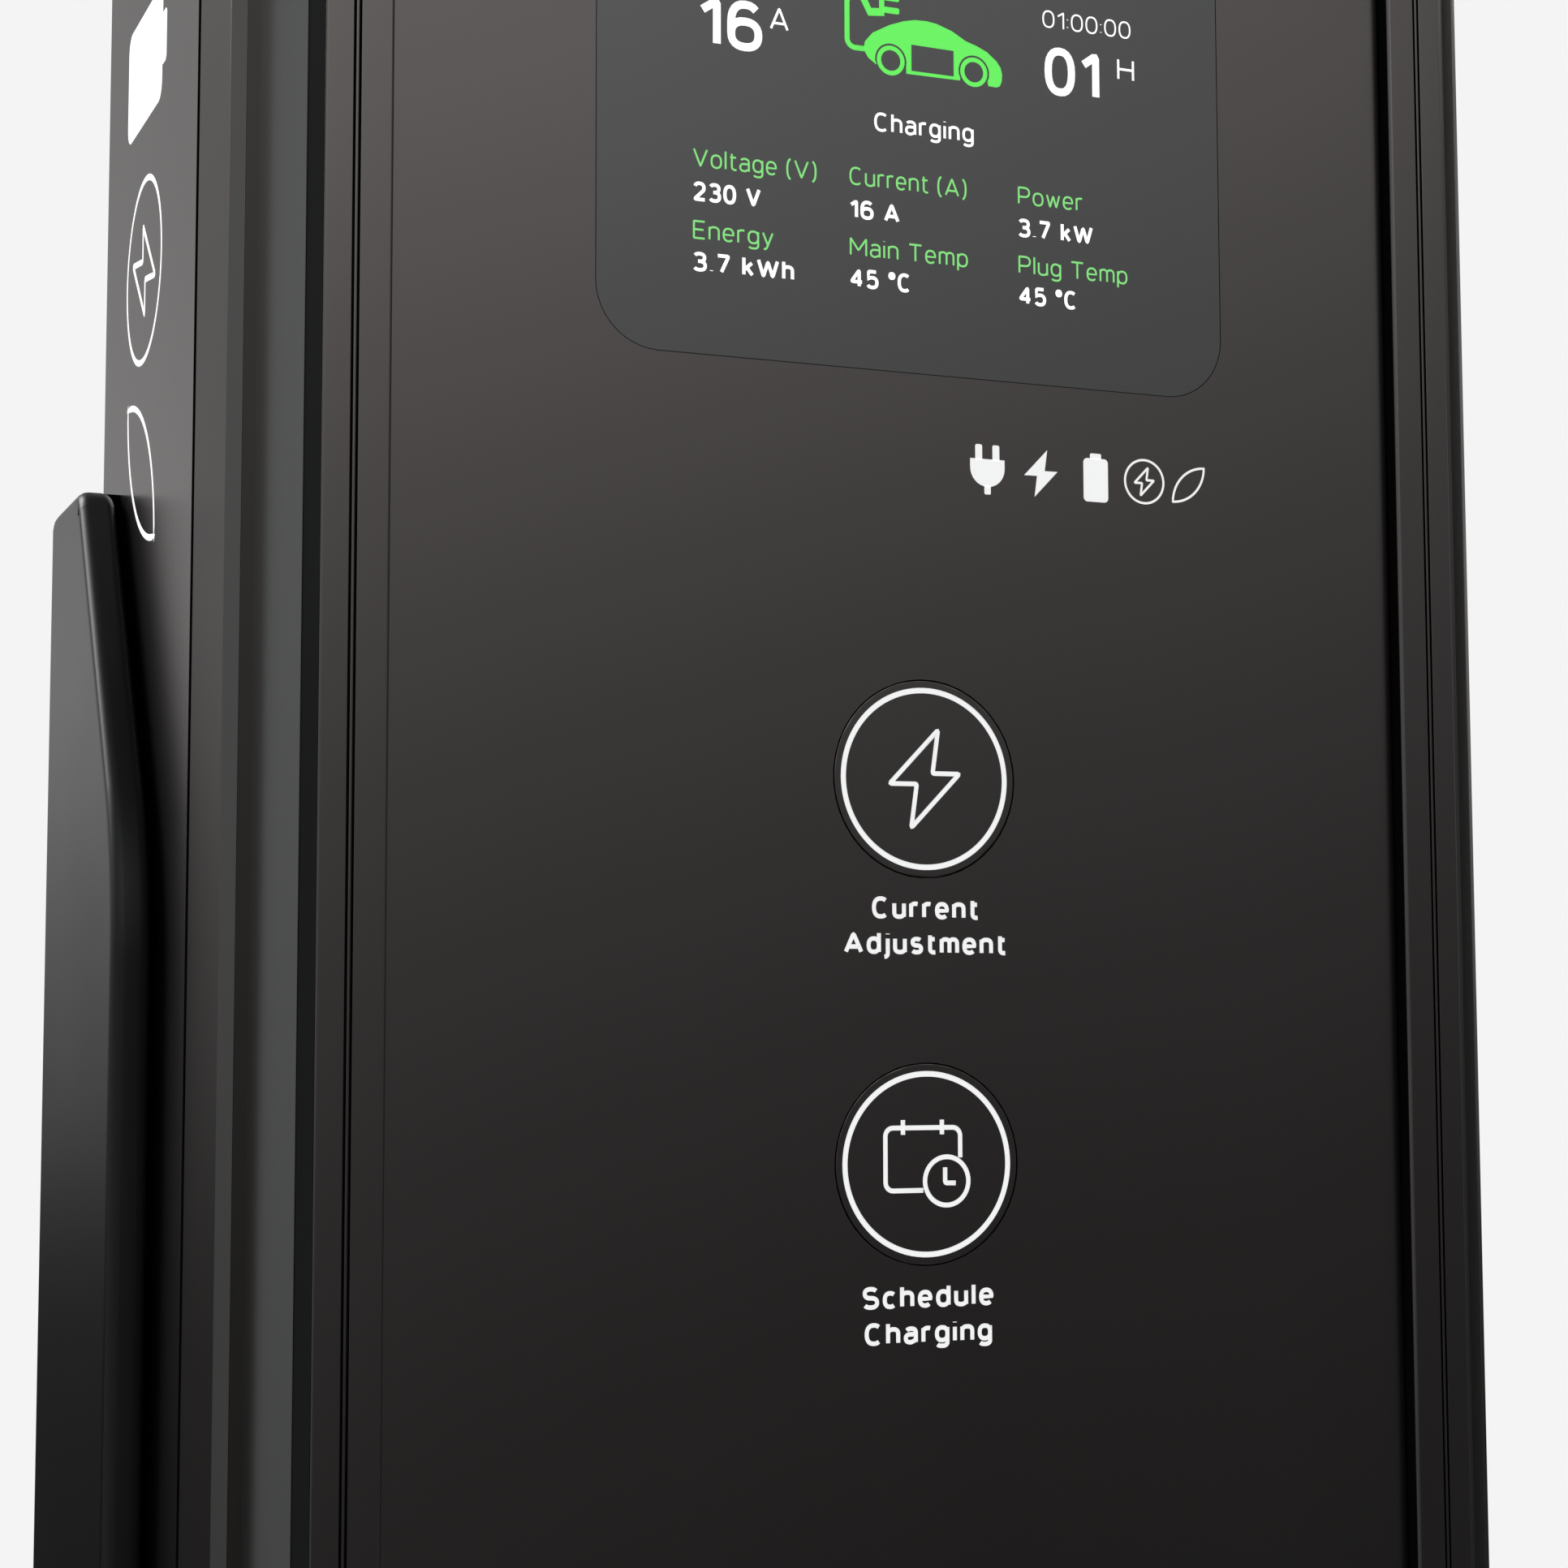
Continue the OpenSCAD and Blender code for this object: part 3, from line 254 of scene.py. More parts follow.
# ---- materials ----
def surface(name, color, rough, metallic=0.0, fine=2500.0, broad=12.0, bump=0.0,
            dust=0.1, drift=0.04, stretch=(1, 1, 1), ior=1.5):
    """A procedural finish: grain in roughness and bump, with light weathering."""
    if name in bpy.data.materials:
        return bpy.data.materials[name]
    material = bpy.data.materials.new(name)
    material.use_nodes = True
    tree = material.node_tree
    shader = tree.nodes["Principled BSDF"]
    shader.inputs["Metallic"].default_value = metallic
    shader.inputs["IOR"].default_value = ior
    place = add_node(tree, "TexCoord").outputs["Object"]
    mapping = add_node(tree, "Mapping", {"Vector": place, "Scale": stretch})
    grain = add_node(tree, "Group", {
        "Vector": mapping.outputs["Vector"], "Fine Scale": fine, "Broad Scale": broad,
        "Rough Low": rough[0], "Rough High": rough[1]}, node_tree=grain_group())
    tree.links.new(grain.outputs["Roughness"], shader.inputs["Roughness"])
    weather = add_node(tree, "Group", {
        "Vector": place, "Base": (*color, 1), "Dust Amount": dust, "Tone Drift": drift},
        node_tree=weather_group())
    tree.links.new(weather.outputs["Color"], shader.inputs["Base Color"])
    if bump:
        relief = add_node(tree, "Bump", {
            "Strength": 1.0, "Distance": bump, "Height": grain.outputs["Height"]})
        tree.links.new(relief.outputs["Normal"], shader.inputs["Normal"])
    return material


# what the finishes of the extrusions have in common: a fine grain drawn out along the post
EXTRUDED = {"metallic": 1.0, "fine": 1800, "broad": 9, "bump": 0.000002, "dust": 0.04,
            "drift": 0.03, "stretch": (1, 1, 0.12)}
# how much the side strips' reflection is dimmed: painted shade
SIDE_STRIP_SHADE = 0.6


def anodised_aluminium():
    gloss = finish_of().anodised_gloss
    return surface("satin anodised aluminium", tuple(finish_of().anodised),
                   (gloss - 0.02, gloss + 0.02), **EXTRUDED)


def shaded_rail_side_aluminium():
    """A copy of the anodised finish with its reflection dimmed, as painted shade, for the rails'
    side strips, less bright at a low angle than the body behind them.
    """
    gloss = finish_of().anodised_gloss
    material = surface("anodised rail side, painted shade", tuple(finish_of().anodised),
                       (gloss + 0.04, gloss + 0.08), **EXTRUDED)
    shader = material.node_tree.nodes["Principled BSDF"]
    shader.inputs["Specular Tint"].default_value = (*[SIDE_STRIP_SHADE] * 3, 1)
    return material


def groove_aluminium():
    """The channel in the corner's slant, left matt by the die."""
    return surface("matt anodised groove", (0.265, 0.256, 0.25), (0.28, 0.34), **EXTRUDED)


def edge_trim():
    """The black trim round the rim of the pedestal's cheeks."""
    return surface("black edge trim", (0.011, 0.011, 0.011), (0.34, 0.42), fine=900, broad=30,
                   bump=0.000008, dust=0.03, drift=0.15, ior=1.45)


def painted_seam_shade():
    """Painted shade: a black finish on the inside faces of the seams, gaps and grooves, where only
    shade falls.
    """
    return surface("painted seam shade", (0.002, 0.002, 0.002), (0.7, 0.8), fine=900, broad=30, dust=0.0,
                   drift=0.1, ior=1.2)


def powder_coat():
    return surface("black powder coat", tuple(finish_of().powder), (0.22, 0.28), fine=1100,
                   broad=14, bump=0.000006, dust=0.05, drift=0.2)


def coloured_moulding(name, color):
    return surface(name, color, (0.34, 0.42), fine=1500, broad=24, bump=0.000008, dust=0.02,
                   drift=0.05)


def screen_glass():
    """Dark glass with an etched face: a soft, strong reflection over a faint even glow."""
    material = surface("etched display glass", (0.012, 0.012, 0.0125), (0.25, 0.28), fine=3500,
                       broad=16, bump=0.0000008, dust=0.0, drift=0.02, ior=2.2)
    shader = material.node_tree.nodes["Principled BSDF"]
    shader.inputs["Emission Color"].default_value = (0.95, 0.97, 1.0, 1)
    shader.inputs["Emission Strength"].default_value = 0.0125
    return material


def lit_ink(name, color, glow):
    """Ink that reads bright on the dark face. On the screen's marks the glow is the screen's own
    light; on the printed marks it is painted light, which keeps their white clear of the
    reflections.
    """
    if name in bpy.data.materials:
        return bpy.data.materials[name]
    material = surface(name, tuple(color), (0.45, 0.55), fine=4000, broad=120, dust=0.0,
                       drift=0.01)
    shader = material.node_tree.nodes["Principled BSDF"]
    shader.inputs["Emission Color"].default_value = (*color, 1)
    shader.inputs["Emission Strength"].default_value = glow
    return material


# printed ink gives off no light of its own: its glow here is painted light
def print_ink_painted_glow():
    return lit_ink("white print with painted glow", finish_of().print_white, 0.62)


def screen_white():
    return lit_ink("screen white", (1.0, 1.0, 1.0), 0.9)


def screen_green():
    return lit_ink("screen green", finish_of().screen_green, 0.86)


def label_green():
    return lit_ink("label green", (0.21, 0.66, 0.19), 0.86)


FINISHES = {
    "column_alu": anodised_aluminium,
    "panel_alu": anodised_aluminium,
    "button_alu": anodised_aluminium,
    "cap_alu": anodised_aluminium,
    "channel_paint": powder_coat,
    "glass": screen_glass,
    "base_paint": lambda: surface(
        "ground plate powder coat", (0.016, 0.016, 0.017), (0.4, 0.52), fine=900, broad=18,
        bump=0.00002, dust=0.22, drift=0.25),
    "rubber": lambda: surface(
        "black rubber", (0.0045, 0.0045, 0.0045), (0.5, 0.65), fine=700, broad=30,
        bump=0.00002, dust=0.03, drift=0.2, ior=1.38),
    "black_plastic": lambda: surface(
        "black moulded plastic", (0.018, 0.018, 0.019), (0.34, 0.44), fine=1300, broad=20,
        bump=0.000015, dust=0.05, drift=0.12),
    "grey_plastic": lambda: coloured_moulding("light grey moulding", (0.42, 0.43, 0.43)),
    "blue_plastic": lambda: coloured_moulding("blue moulding", (0.03, 0.1, 0.36)),
    "yellow_plastic": lambda: coloured_moulding("yellow moulding", (0.8, 0.52, 0.03)),
    "steel": lambda: surface(
        "zinc plated steel", (0.52, 0.52, 0.53), (0.24, 0.36), metallic=1.0, fine=900, broad=35,
        bump=0.000006, dust=0.03, drift=0.12, stretch=(1, 1, 0.2)),
    "screw_steel": lambda: surface(
        "black oxide steel", (0.11, 0.11, 0.112), (0.3, 0.42), metallic=1.0, fine=1600, broad=40,
        bump=0.000006, dust=0.04, drift=0.15),
    "spring_steel": lambda: surface(
        "spring wire", (0.5, 0.49, 0.47), (0.2, 0.3), metallic=1.0, fine=2200, broad=60,
        bump=0.000003, dust=0.0, drift=0.1),
    "brass": lambda: surface(
        "brass", (0.66, 0.48, 0.2), (0.2, 0.3), metallic=1.0, fine=1800, broad=50,
        bump=0.000003, dust=0.0, drift=0.12),
    "board": lambda: surface(
        "circuit laminate", (0.012, 0.085, 0.03), (0.28, 0.4), fine=420, broad=60,
        bump=0.00001, dust=0.0, drift=0.25),
    "lcd": lambda: surface(
        "display cell", (0.02, 0.02, 0.022), (0.3, 0.4), fine=1500, broad=40,
        bump=0.000004, dust=0.0, drift=0.08),
}
SLOTS = {row["node"]: row["material_slot"] for row in frame["record"]["subparts"]}
BODIES = {node: body for body, members in frame["record"]["behaviour"]["bodies"].items()
          for node in members}


def dress(obj, material):
    obj.data.materials.clear()
    obj.data.materials.append(material)


# ---- soft edges ----
MERGE = 0.002 * MM            # points nearer than this are one
FLAT = math.radians(0.6)      # faces that turn by less than this are one
SHARP = math.radians(25)      # an outer edge that turns by more than this is rounded
CREASE = math.radians(40)     # an edge that turns by more than this is shaded sharp
LONG = 0.5                    # an edge taller than this runs along the column
SEAM_SHADE_REACH = 1.8 * MM               # how far in front of the rear body the rails' faces are painted black as seam shade


def softened(node, name, width, segments=2, keep=lambda edge: True, regions=(),
             prepare=lambda bm: None, detail=lambda bm: None):
    """A merged copy of a node with its sharp edges rounded, which stands for the node. Each
    region is a material and a test of a face that says where it goes."""
    source = NODES[node]
    bm = bmesh.new()
    bm.from_mesh(source.data)
    bmesh.ops.remove_doubles(bm, verts=bm.verts, dist=MERGE)
    prepare(bm)
    bmesh.ops.dissolve_limit(bm, angle_limit=FLAT, verts=bm.verts, edges=bm.edges)
    sharp = [edge for edge in bm.edges
             if edge.is_manifold and edge.calc_face_angle_signed(0) > SHARP and keep(edge)]
    bmesh.ops.bevel(bm, geom=sharp, offset=width, offset_type="OFFSET", affect="EDGES",
                    segments=segments, profile=0.5, material=-1, clamp_overlap=False)
    bmesh.ops.remove_doubles(bm, verts=bm.verts, dist=MERGE / 4)
    detail(bm)
    for face in bm.faces:
        face.smooth = True
    for edge in bm.edges:
        edge.smooth = not (edge.is_manifold and edge.calc_face_angle(0) > CREASE)
    bmesh.ops.triangulate(bm, faces=[face for face in bm.faces if len(face.verts) > 4])
    mesh = bpy.data.meshes.new(name)
    bm.to_mesh(mesh)
    bm.free()
    piece = link(bpy.data.objects.new(name, mesh))
    evened = piece.modifiers.new("even normals", "WEIGHTED_NORMAL")
    evened.keep_sharp = True
    evened.weight = 100
    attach(piece, BODIES[node])
    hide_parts(node)
    dress(piece, FINISHES[SLOTS[node]]())
    for number, (material, inside) in enumerate(regions, 1):
        piece.data.materials.append(material)
        for face in piece.data.polygons:
            if inside(face.center, face.normal):
                face.material_index = number
    return piece


def long_edge(edge):
    """Whether an edge runs along the column."""
    return abs(edge.verts[0].co.z - edge.verts[1].co.z) > LONG


# ---- flat marks, drawn in millimetres as (x, z) ----
EASE = 0.35          # how far from a corner its turn starts, in line widths


def front_place(x, z):
    """Carries a mark drawn in the (x, y) plane to the front face, centred at (x, z)."""
    return Matrix.Translation((x, PANEL_Y, z)) @ Matrix.Rotation(math.pi / 2, 4, "X")


def side_place(depth, z):
    """Carries a mark to the left side face, reading downwards, centred at (depth, z)."""
    turn = Matrix(((0, 0, -1), (0, -1, 0), (-1, 0, 0))).to_4x4()
    return Matrix.Translation((SIDE_X, FRONT_Y + depth, z)) @ turn


def settle(curve, name, place, material, body):
    """Makes a drawn curve a thin closed mesh, lays it on its face and joins it to a body."""
    drawn = link(bpy.data.objects.new(name + "_drawn", curve))
    bpy.context.view_layer.update()
    graph = bpy.context.evaluated_depsgraph_get()
    mesh = bpy.data.meshes.new_from_object(drawn.evaluated_get(graph))
    bpy.data.objects.remove(drawn)
    bpy.data.curves.remove(curve)
    deepest = max(abs(v.co.z) for v in mesh.vertices)
    thick = size_of().mark_thickness
    bm = bmesh.new()
    bm.from_mesh(mesh)
    bmesh.ops.remove_doubles(bm, verts=bm.verts, dist=MERGE / 10)
    bmesh.ops.transform(bm, matrix=Matrix.Diagonal((1, 1, thick / deepest, 1)), verts=bm.verts)
    bmesh.ops.transform(bm, matrix=place, verts=bm.verts)
    bmesh.ops.recalc_face_normals(bm, faces=bm.faces)
    bm.to_mesh(mesh)
    bm.free()
    mesh.name = name
    piece = link(bpy.data.objects.new(name, mesh))
    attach(piece, body)
    dress(piece, material)
    return piece


def eased(points, closed, ease):
    """The same line with each corner turned in three short steps, so its width stays even."""
    count = len(points)
    line = []
    for i, (x, z) in enumerate(points):
        if not closed and i in (0, count - 1):
            line.append((x, z))
            continue
        corner = Vector((x, z))
        before = Vector(points[i - 1]) - corner
        after = Vector(points[(i + 1) % count]) - corner
        if before.length < 4 * ease or after.length < 4 * ease:
            line.append((x, z))
            continue
        first = corner + before.normalized() * ease
        last = corner + after.normalized() * ease
        line += [tuple(first), tuple((first + last) / 4 + corner / 2), tuple(last)]
    return line


def add_line(curve, points, closed):
    spline = curve.splines.new("POLY")
    spline.points.add(len(points) - 1)
    for at, (x, z) in zip(spline.points, points):
        at.co = (x * MM, z * MM, 0, 1)
    spline.use_cyclic_u = closed


def stroke(lines, width):
    """A curve of drawn lines, each a list of (x, z) points and whether it is closed."""
    curve = bpy.data.curves.new("strokes", "CURVE")
    curve.dimensions = "3D"
    curve.bevel_depth = width / 2
    curve.bevel_resolution = 2
    curve.use_fill_caps = True
    for points, closed in lines:
        add_line(curve, eased(points, closed, EASE * width / MM), closed)
    return curve


def filled(outlines):
    """A filled curve; an outline inside another one is a hole."""
    curve = bpy.data.curves.new("filled", "CURVE")
    curve.dimensions = "2D"
    curve.fill_mode = "BOTH"
    curve.extrude = 0.1 * MM     # any value, since settle() gives the mark its thickness
    for points in outlines:
        add_line(curve, points, True)
    return curve


def arc(cx, cz, r, start, end, steps):
    """Points on an arc, from one angle to another in degrees."""
    turns = [math.radians(start + (end - start) * i / steps) for i in range(steps + 1)]
    return [(cx + r * math.cos(a), cz + r * math.sin(a)) for a in turns]


def circle(cx, cz, r, steps):
    """Points all round a circle, for a closed line."""
    return arc(cx, cz, r, 0, 360 * (steps - 1) / steps, steps - 1)


def rounded(x0, z0, x1, z1, r):
    """A rectangle with round corners, counterclockwise from its right side."""
    return (arc(x1 - r, z0 + r, r, -90, 0, 6) + arc(x1 - r, z1 - r, r, 0, 90, 6)
            + arc(x0 + r, z1 - r, r, 90, 180, 6) + arc(x0 + r, z0 + r, r, 180, 270, 6))


def resized(points, scale):
    return [(x * scale, z * scale) for x, z in points]


# ---- lettering: each letter is a set of lines in a box one cap height tall ----
X_HEIGHT = 0.74
SQUARED = 2.4        # 2 is an ellipse, more is squarer
LETTER_GAP = 0.1     # between the lines' edges
JOINED = 0.001       # ends nearer than this close a line


def oval(x0, z0, x1, z1, start=0.0, end=360.0):
    """Part of a slightly squared oval that fills a box."""
    cx, cz, rx, rz = (x0 + x1) / 2, (z0 + z1) / 2, (x1 - x0) / 2, (z1 - z0) / 2
    steps = max(4, round(abs(end - start) / 15))
    points = []
    for i in range(steps + 1):
        a = math.radians(start + (end - start) * i / steps)
        c, n = math.cos(a), math.sin(a)
        points.append((cx + rx * math.copysign(abs(c) ** (2 / SQUARED), c),
                       cz + rz * math.copysign(abs(n) ** (2 / SQUARED), n)))
    return points


def dot(x, z):
    return [(x, z - 0.02), (x, z + 0.02)]


def letters():
    """The lines and the width of every letter used."""
    x = X_HEIGHT
    return {
        " ": (0.12, []),
        ".": (0.0, [dot(0, 0.02)]),
        ":": (0.0, [dot(0, 0.14), dot(0, 0.62)]),
        "(": (0.16, [oval(0, -0.2, 0.5, 1.1, 250, 110)]),
        ")": (0.16, [oval(-0.34, -0.2, 0.16, 1.1, -70, 70)]),
        "°": (0.2, [oval(0, 0.72, 0.2, 1.0)]),
        "0": (0.5, [oval(0, 0, 0.5, 1)]),
        "1": (0.26, [[(0, 0.76), (0.26, 1), (0.26, 0)]]),
        "2": (0.5, [oval(0.02, 0.46, 0.48, 1, 165, -35) + [(0, 0), (0.52, 0)]]),
        "3": (0.5, [oval(0.03, 0.53, 0.47, 1, 155, -90) + [(0.18, 0.53)],
                    oval(0, 0, 0.5, 0.53, 90, -150)]),
        "4": (0.54, [[(0.4, 0), (0.4, 1), (0, 0.27), (0.54, 0.27)]]),
        "5": (0.5, [[(0.45, 1), (0.07, 1), (0.04, 0.5)] + oval(0, 0, 0.5, 0.62, 115, -150)]),
        "6": (0.5, [oval(0, 0, 0.5, 0.6), [(0, 0.3)] + oval(0, 0.1, 0.52, 1, 180, 45)]),
        "7": (0.48, [[(0, 1), (0.48, 1), (0.16, 0)]]),
        "A": (0.62, [[(0, 0), (0.31, 1), (0.62, 0)], [(0.09, 0.28), (0.53, 0.28)]]),
        "C": (0.54, [oval(0, 0, 0.56, 1, 50, 310)]),
        "E": (0.46, [[(0.46, 1), (0, 1), (0, 0), (0.46, 0)], [(0, 0.51), (0.41, 0.51)]]),
        "H": (0.56, [[(0, 0), (0, 1)], [(0.56, 0), (0.56, 1)], [(0, 0.51), (0.56, 0.51)]]),
        "M": (0.7, [[(0, 0), (0, 1), (0.35, 0.3), (0.7, 1), (0.7, 0)]]),
        "P": (0.5, [[(0, 0), (0, 1), (0.24, 1)] + oval(0, 0.43, 0.5, 1, 80, -80)
                    + [(0.24, 0.43), (0, 0.43)]]),
        "S": (0.5, [oval(0.02, 0.51, 0.48, 1, 30, 270) + oval(0, 0, 0.5, 0.51, 90, -150)]),
        "T": (0.56, [[(0, 1), (0.56, 1)], [(0.28, 1), (0.28, 0)]]),
        "V": (0.6, [[(0, 1), (0.3, 0), (0.6, 1)]]),
        "W": (0.86, [[(0, 1), (0.22, 0), (0.43, 0.92), (0.64, 0), (0.86, 1)]]),
        "a": (0.4, [oval(0.02, 0.3, 0.4, x, 150, 0) + [(0.4, 0)],
                    [(0.4, 0.43), (0.2, 0.43)] + oval(0, 0, 0.38, 0.43, 95, 265)
                    + [(0.22, 0), (0.4, 0.12)]]),
        "c": (0.38, [oval(0, 0, 0.42, x, 50, 310)]),
        "d": (0.42, [oval(0, 0, 0.42, x), [(0.42, 1.04), (0.42, 0)]]),
        "e": (0.42, [[(0, x / 2), (0.42, x / 2)] + oval(0, 0, 0.42, x, 5, 315)]),
        "g": (0.42, [oval(0, 0.04, 0.42, x),
                     [(0.42, x), (0.42, 0)] + oval(0, -0.27, 0.42, 0.12, -5, -150)]),
        "h": (0.4, [[(0, 0), (0, 1.04)], oval(0, 0.26, 0.4, x, 165, 0) + [(0.4, 0)]]),
        "i": (0.0, [[(0, 0), (0, x)], dot(0, 1.0)]),
        "j": (0.06, [[(0.06, x), (0.06, -0.05)] + oval(-0.26, -0.27, 0.06, 0.12, -10, -85),
                     dot(0.06, 1.0)]),
        "k": (0.38, [[(0, 0), (0, 1.04)], [(0.36, x), (0.02, 0.3)], [(0.15, 0.42), (0.38, 0)]]),
        "l": (0.0, [[(0, 0), (0, 1.04)]]),
        "m": (0.64, [[(0, 0), (0, x)], oval(0, 0.26, 0.32, x, 165, 0) + [(0.32, 0)],
                     oval(0.32, 0.26, 0.64, x, 165, 0) + [(0.64, 0)]]),
        "n": (0.4, [[(0, 0), (0, x)], oval(0, 0.26, 0.4, x, 165, 0) + [(0.4, 0)]]),
        "o": (0.44, [oval(0, 0, 0.44, x)]),
        "p": (0.42, [oval(0, 0, 0.42, x), [(0, x), (0, -0.27)]]),
        "r": (0.24, [[(0, 0), (0, x)], oval(0, 0.3, 0.36, x, 165, 65)]),
        "s": (0.36, [oval(0.02, 0.38, 0.35, x, 35, 270) + oval(0, 0, 0.37, 0.38, 90, -150)]),
        "t": (0.26, [[(0.08, 0.95), (0.08, 0.2)] + oval(0.08, 0, 0.4, 0.4, 190, 285),
                     [(0, x), (0.27, x)]]),
        "u": (0.4, [[(0, x)] + oval(0, 0, 0.4, 0.48, 180, 345), [(0.4, x), (0.4, 0)]]),
        "w": (0.6, [[(0, x), (0.15, 0), (0.3, 0.68), (0.45, 0), (0.6, x)]]),
        "y": (0.42, [[(0, x), (0.21, 0.02)], [(0.42, x), (0.16, -0.18), (0.04, -0.26)]]),
    }


def write(name, text, left, base, cap, width, line, material, centred=False):
    """A line of lettering on the front, in millimetres: its left end, or its middle if it is
    centred, its base line, cap height, width and line width."""
    alphabet = letters()
    gap = LETTER_GAP + line / cap
    at = 0.0
    drawn = []
    for sign in text:
        wide, lines = alphabet[sign]
        drawn += [[(x + at, z) for x, z in points] for points in lines]
        at += wide + gap
    low = min(x for points in drawn for x, _ in points)
    high = max(x for points in drawn for x, _ in points)
    along, up = (width - line) / (high - low), cap - line
    start = left + line / 2 - (width / 2 if centred else 0)
    lines = []
    for points in drawn:
        closed = math.dist(points[0], points[-1]) < JOINED
        flat = [(start + (x - low) * along, base + line / 2 + z * up) for x, z in points]
        lines.append((flat[:-1] if closed else flat, closed))
    settle(stroke(lines, line * MM), name, front_place(0, 0), material, POST)


# ---- operators ----
class POST_OT_finishes(bpy.types.Operator):
    """Gives every carried-over part its finish"""

    bl_idname = "post.finishes"
    bl_label = "Finish Parts"

    def execute(self, context):
        for node, obj in NODES.items():
            dress(obj, FINISHES[SLOTS[node]]())
        return {"FINISHED"}


class POST_OT_column(bpy.types.Operator):
    """Rounds the edges of the column's extrusions, panels and cap, and paints shade black into its
    seams
    """

    bl_idname = "post.column"
    bl_label = "Column and Panels"

    def execute(self, context):
        sizes = size_of()
        half = -SIDE_X
        skin = 0.15 * MM              # takes in the rounding beside a face
        depth = 0.1 * MM              # below this a rail's wall stands in the panels' seam
        wall = 2.5 * MM               # holds the rails' walls beside the panels
        strip_skin = 0.3 * MM         # takes in the rounding beside the infill strips
        slant_skin = 0.25 * MM        # takes in the rounding beside the corner's slant
        corner = 20 * MM              # holds the whole of the corner
        sheet_skin = 0.05 * MM        # takes in the panels' outer face only
        glass_rim = 1.0 * MM          # holds the walls of the panel's glass opening
        rim_reach = 0.5 * MM          # holds the panels' side edges
        strip_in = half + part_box("left_infill")[1].x
        seam_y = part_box("rear_body")[0].y
        cover_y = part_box("service_cover")[1].y
        panel_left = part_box("fascia_panel")[0].x

        # Each test below picks faces painted black as shade: the rails' walls and ledges in the
        # seams, the rear body's front edge, the panels' side edges and hole walls, and the service
        # cover's edges.
        def rail_seam_shade(at, normal):
            inward = half - abs(at.x)
            if at.y > seam_y - SEAM_SHADE_REACH - skin:
                return True
            if inward > half + panel_left - wall:
                return at.y > PANEL_Y - depth
            return inward > strip_in + strip_skin and at.y > FRONT_Y + skin

        def rail_side(at, normal):
            return half - abs(at.x) < skin / 10 and abs(normal.x) > 0.9

        def rail_groove(at, normal):
            inward = half - abs(at.x)
            below = (at.y - FRONT_Y + inward - strip_in) / math.sqrt(2)
            return at.y < FRONT_Y + corner and below > slant_skin and inward < strip_in

        def body_seam_shade(at, normal):
            return at.y < seam_y + skin

        def panel_edge_shade(at, normal):
            by_glass = (GLASS_LOW.z - glass_rim < at.z < GLASS_HIGH.z + glass_rim
                        and abs(at.x) < GLASS_HIGH.x + glass_rim)
            return at.y > PANEL_Y + sheet_skin and not by_glass

        def panel_rim(edge):
            return all(abs(vert.co.x) > -panel_left - rim_reach for vert in edge.verts)

        def cover_edge_shade(at, normal):
            return at.y < cover_y - sizes.sheet_edge

        for side in ("left", "right"):
            softened(side + "_rail", side + "_rail_soft", sizes.extruded_edge, 2, long_edge,
                     ((painted_seam_shade(), rail_seam_shade), (shaded_rail_side_aluminium(), rail_side),
                      (groove_aluminium(), rail_groove)))
        softened("rear_body", "rear_body_soft", sizes.extruded_edge, 2, long_edge,
                 ((painted_seam_shade(), body_seam_shade),))
        for node in ("fascia_panel", "socket_panel"):
            softened(node, node + "_soft", sizes.sheet_edge, 2, panel_rim,
                     ((painted_seam_shade(), panel_edge_shade),))
        softened("service_cover", "service_cover_soft", sizes.sheet_edge,
                 regions=((painted_seam_shade(), cover_edge_shade),))
        softened("top_cap", "top_cap_soft", sizes.sheet_edge)
        for node in ("current_button", "schedule_button"):
            softened(node, node + "_soft", sizes.sheet_edge / 4)
        return {"FINISHED"}


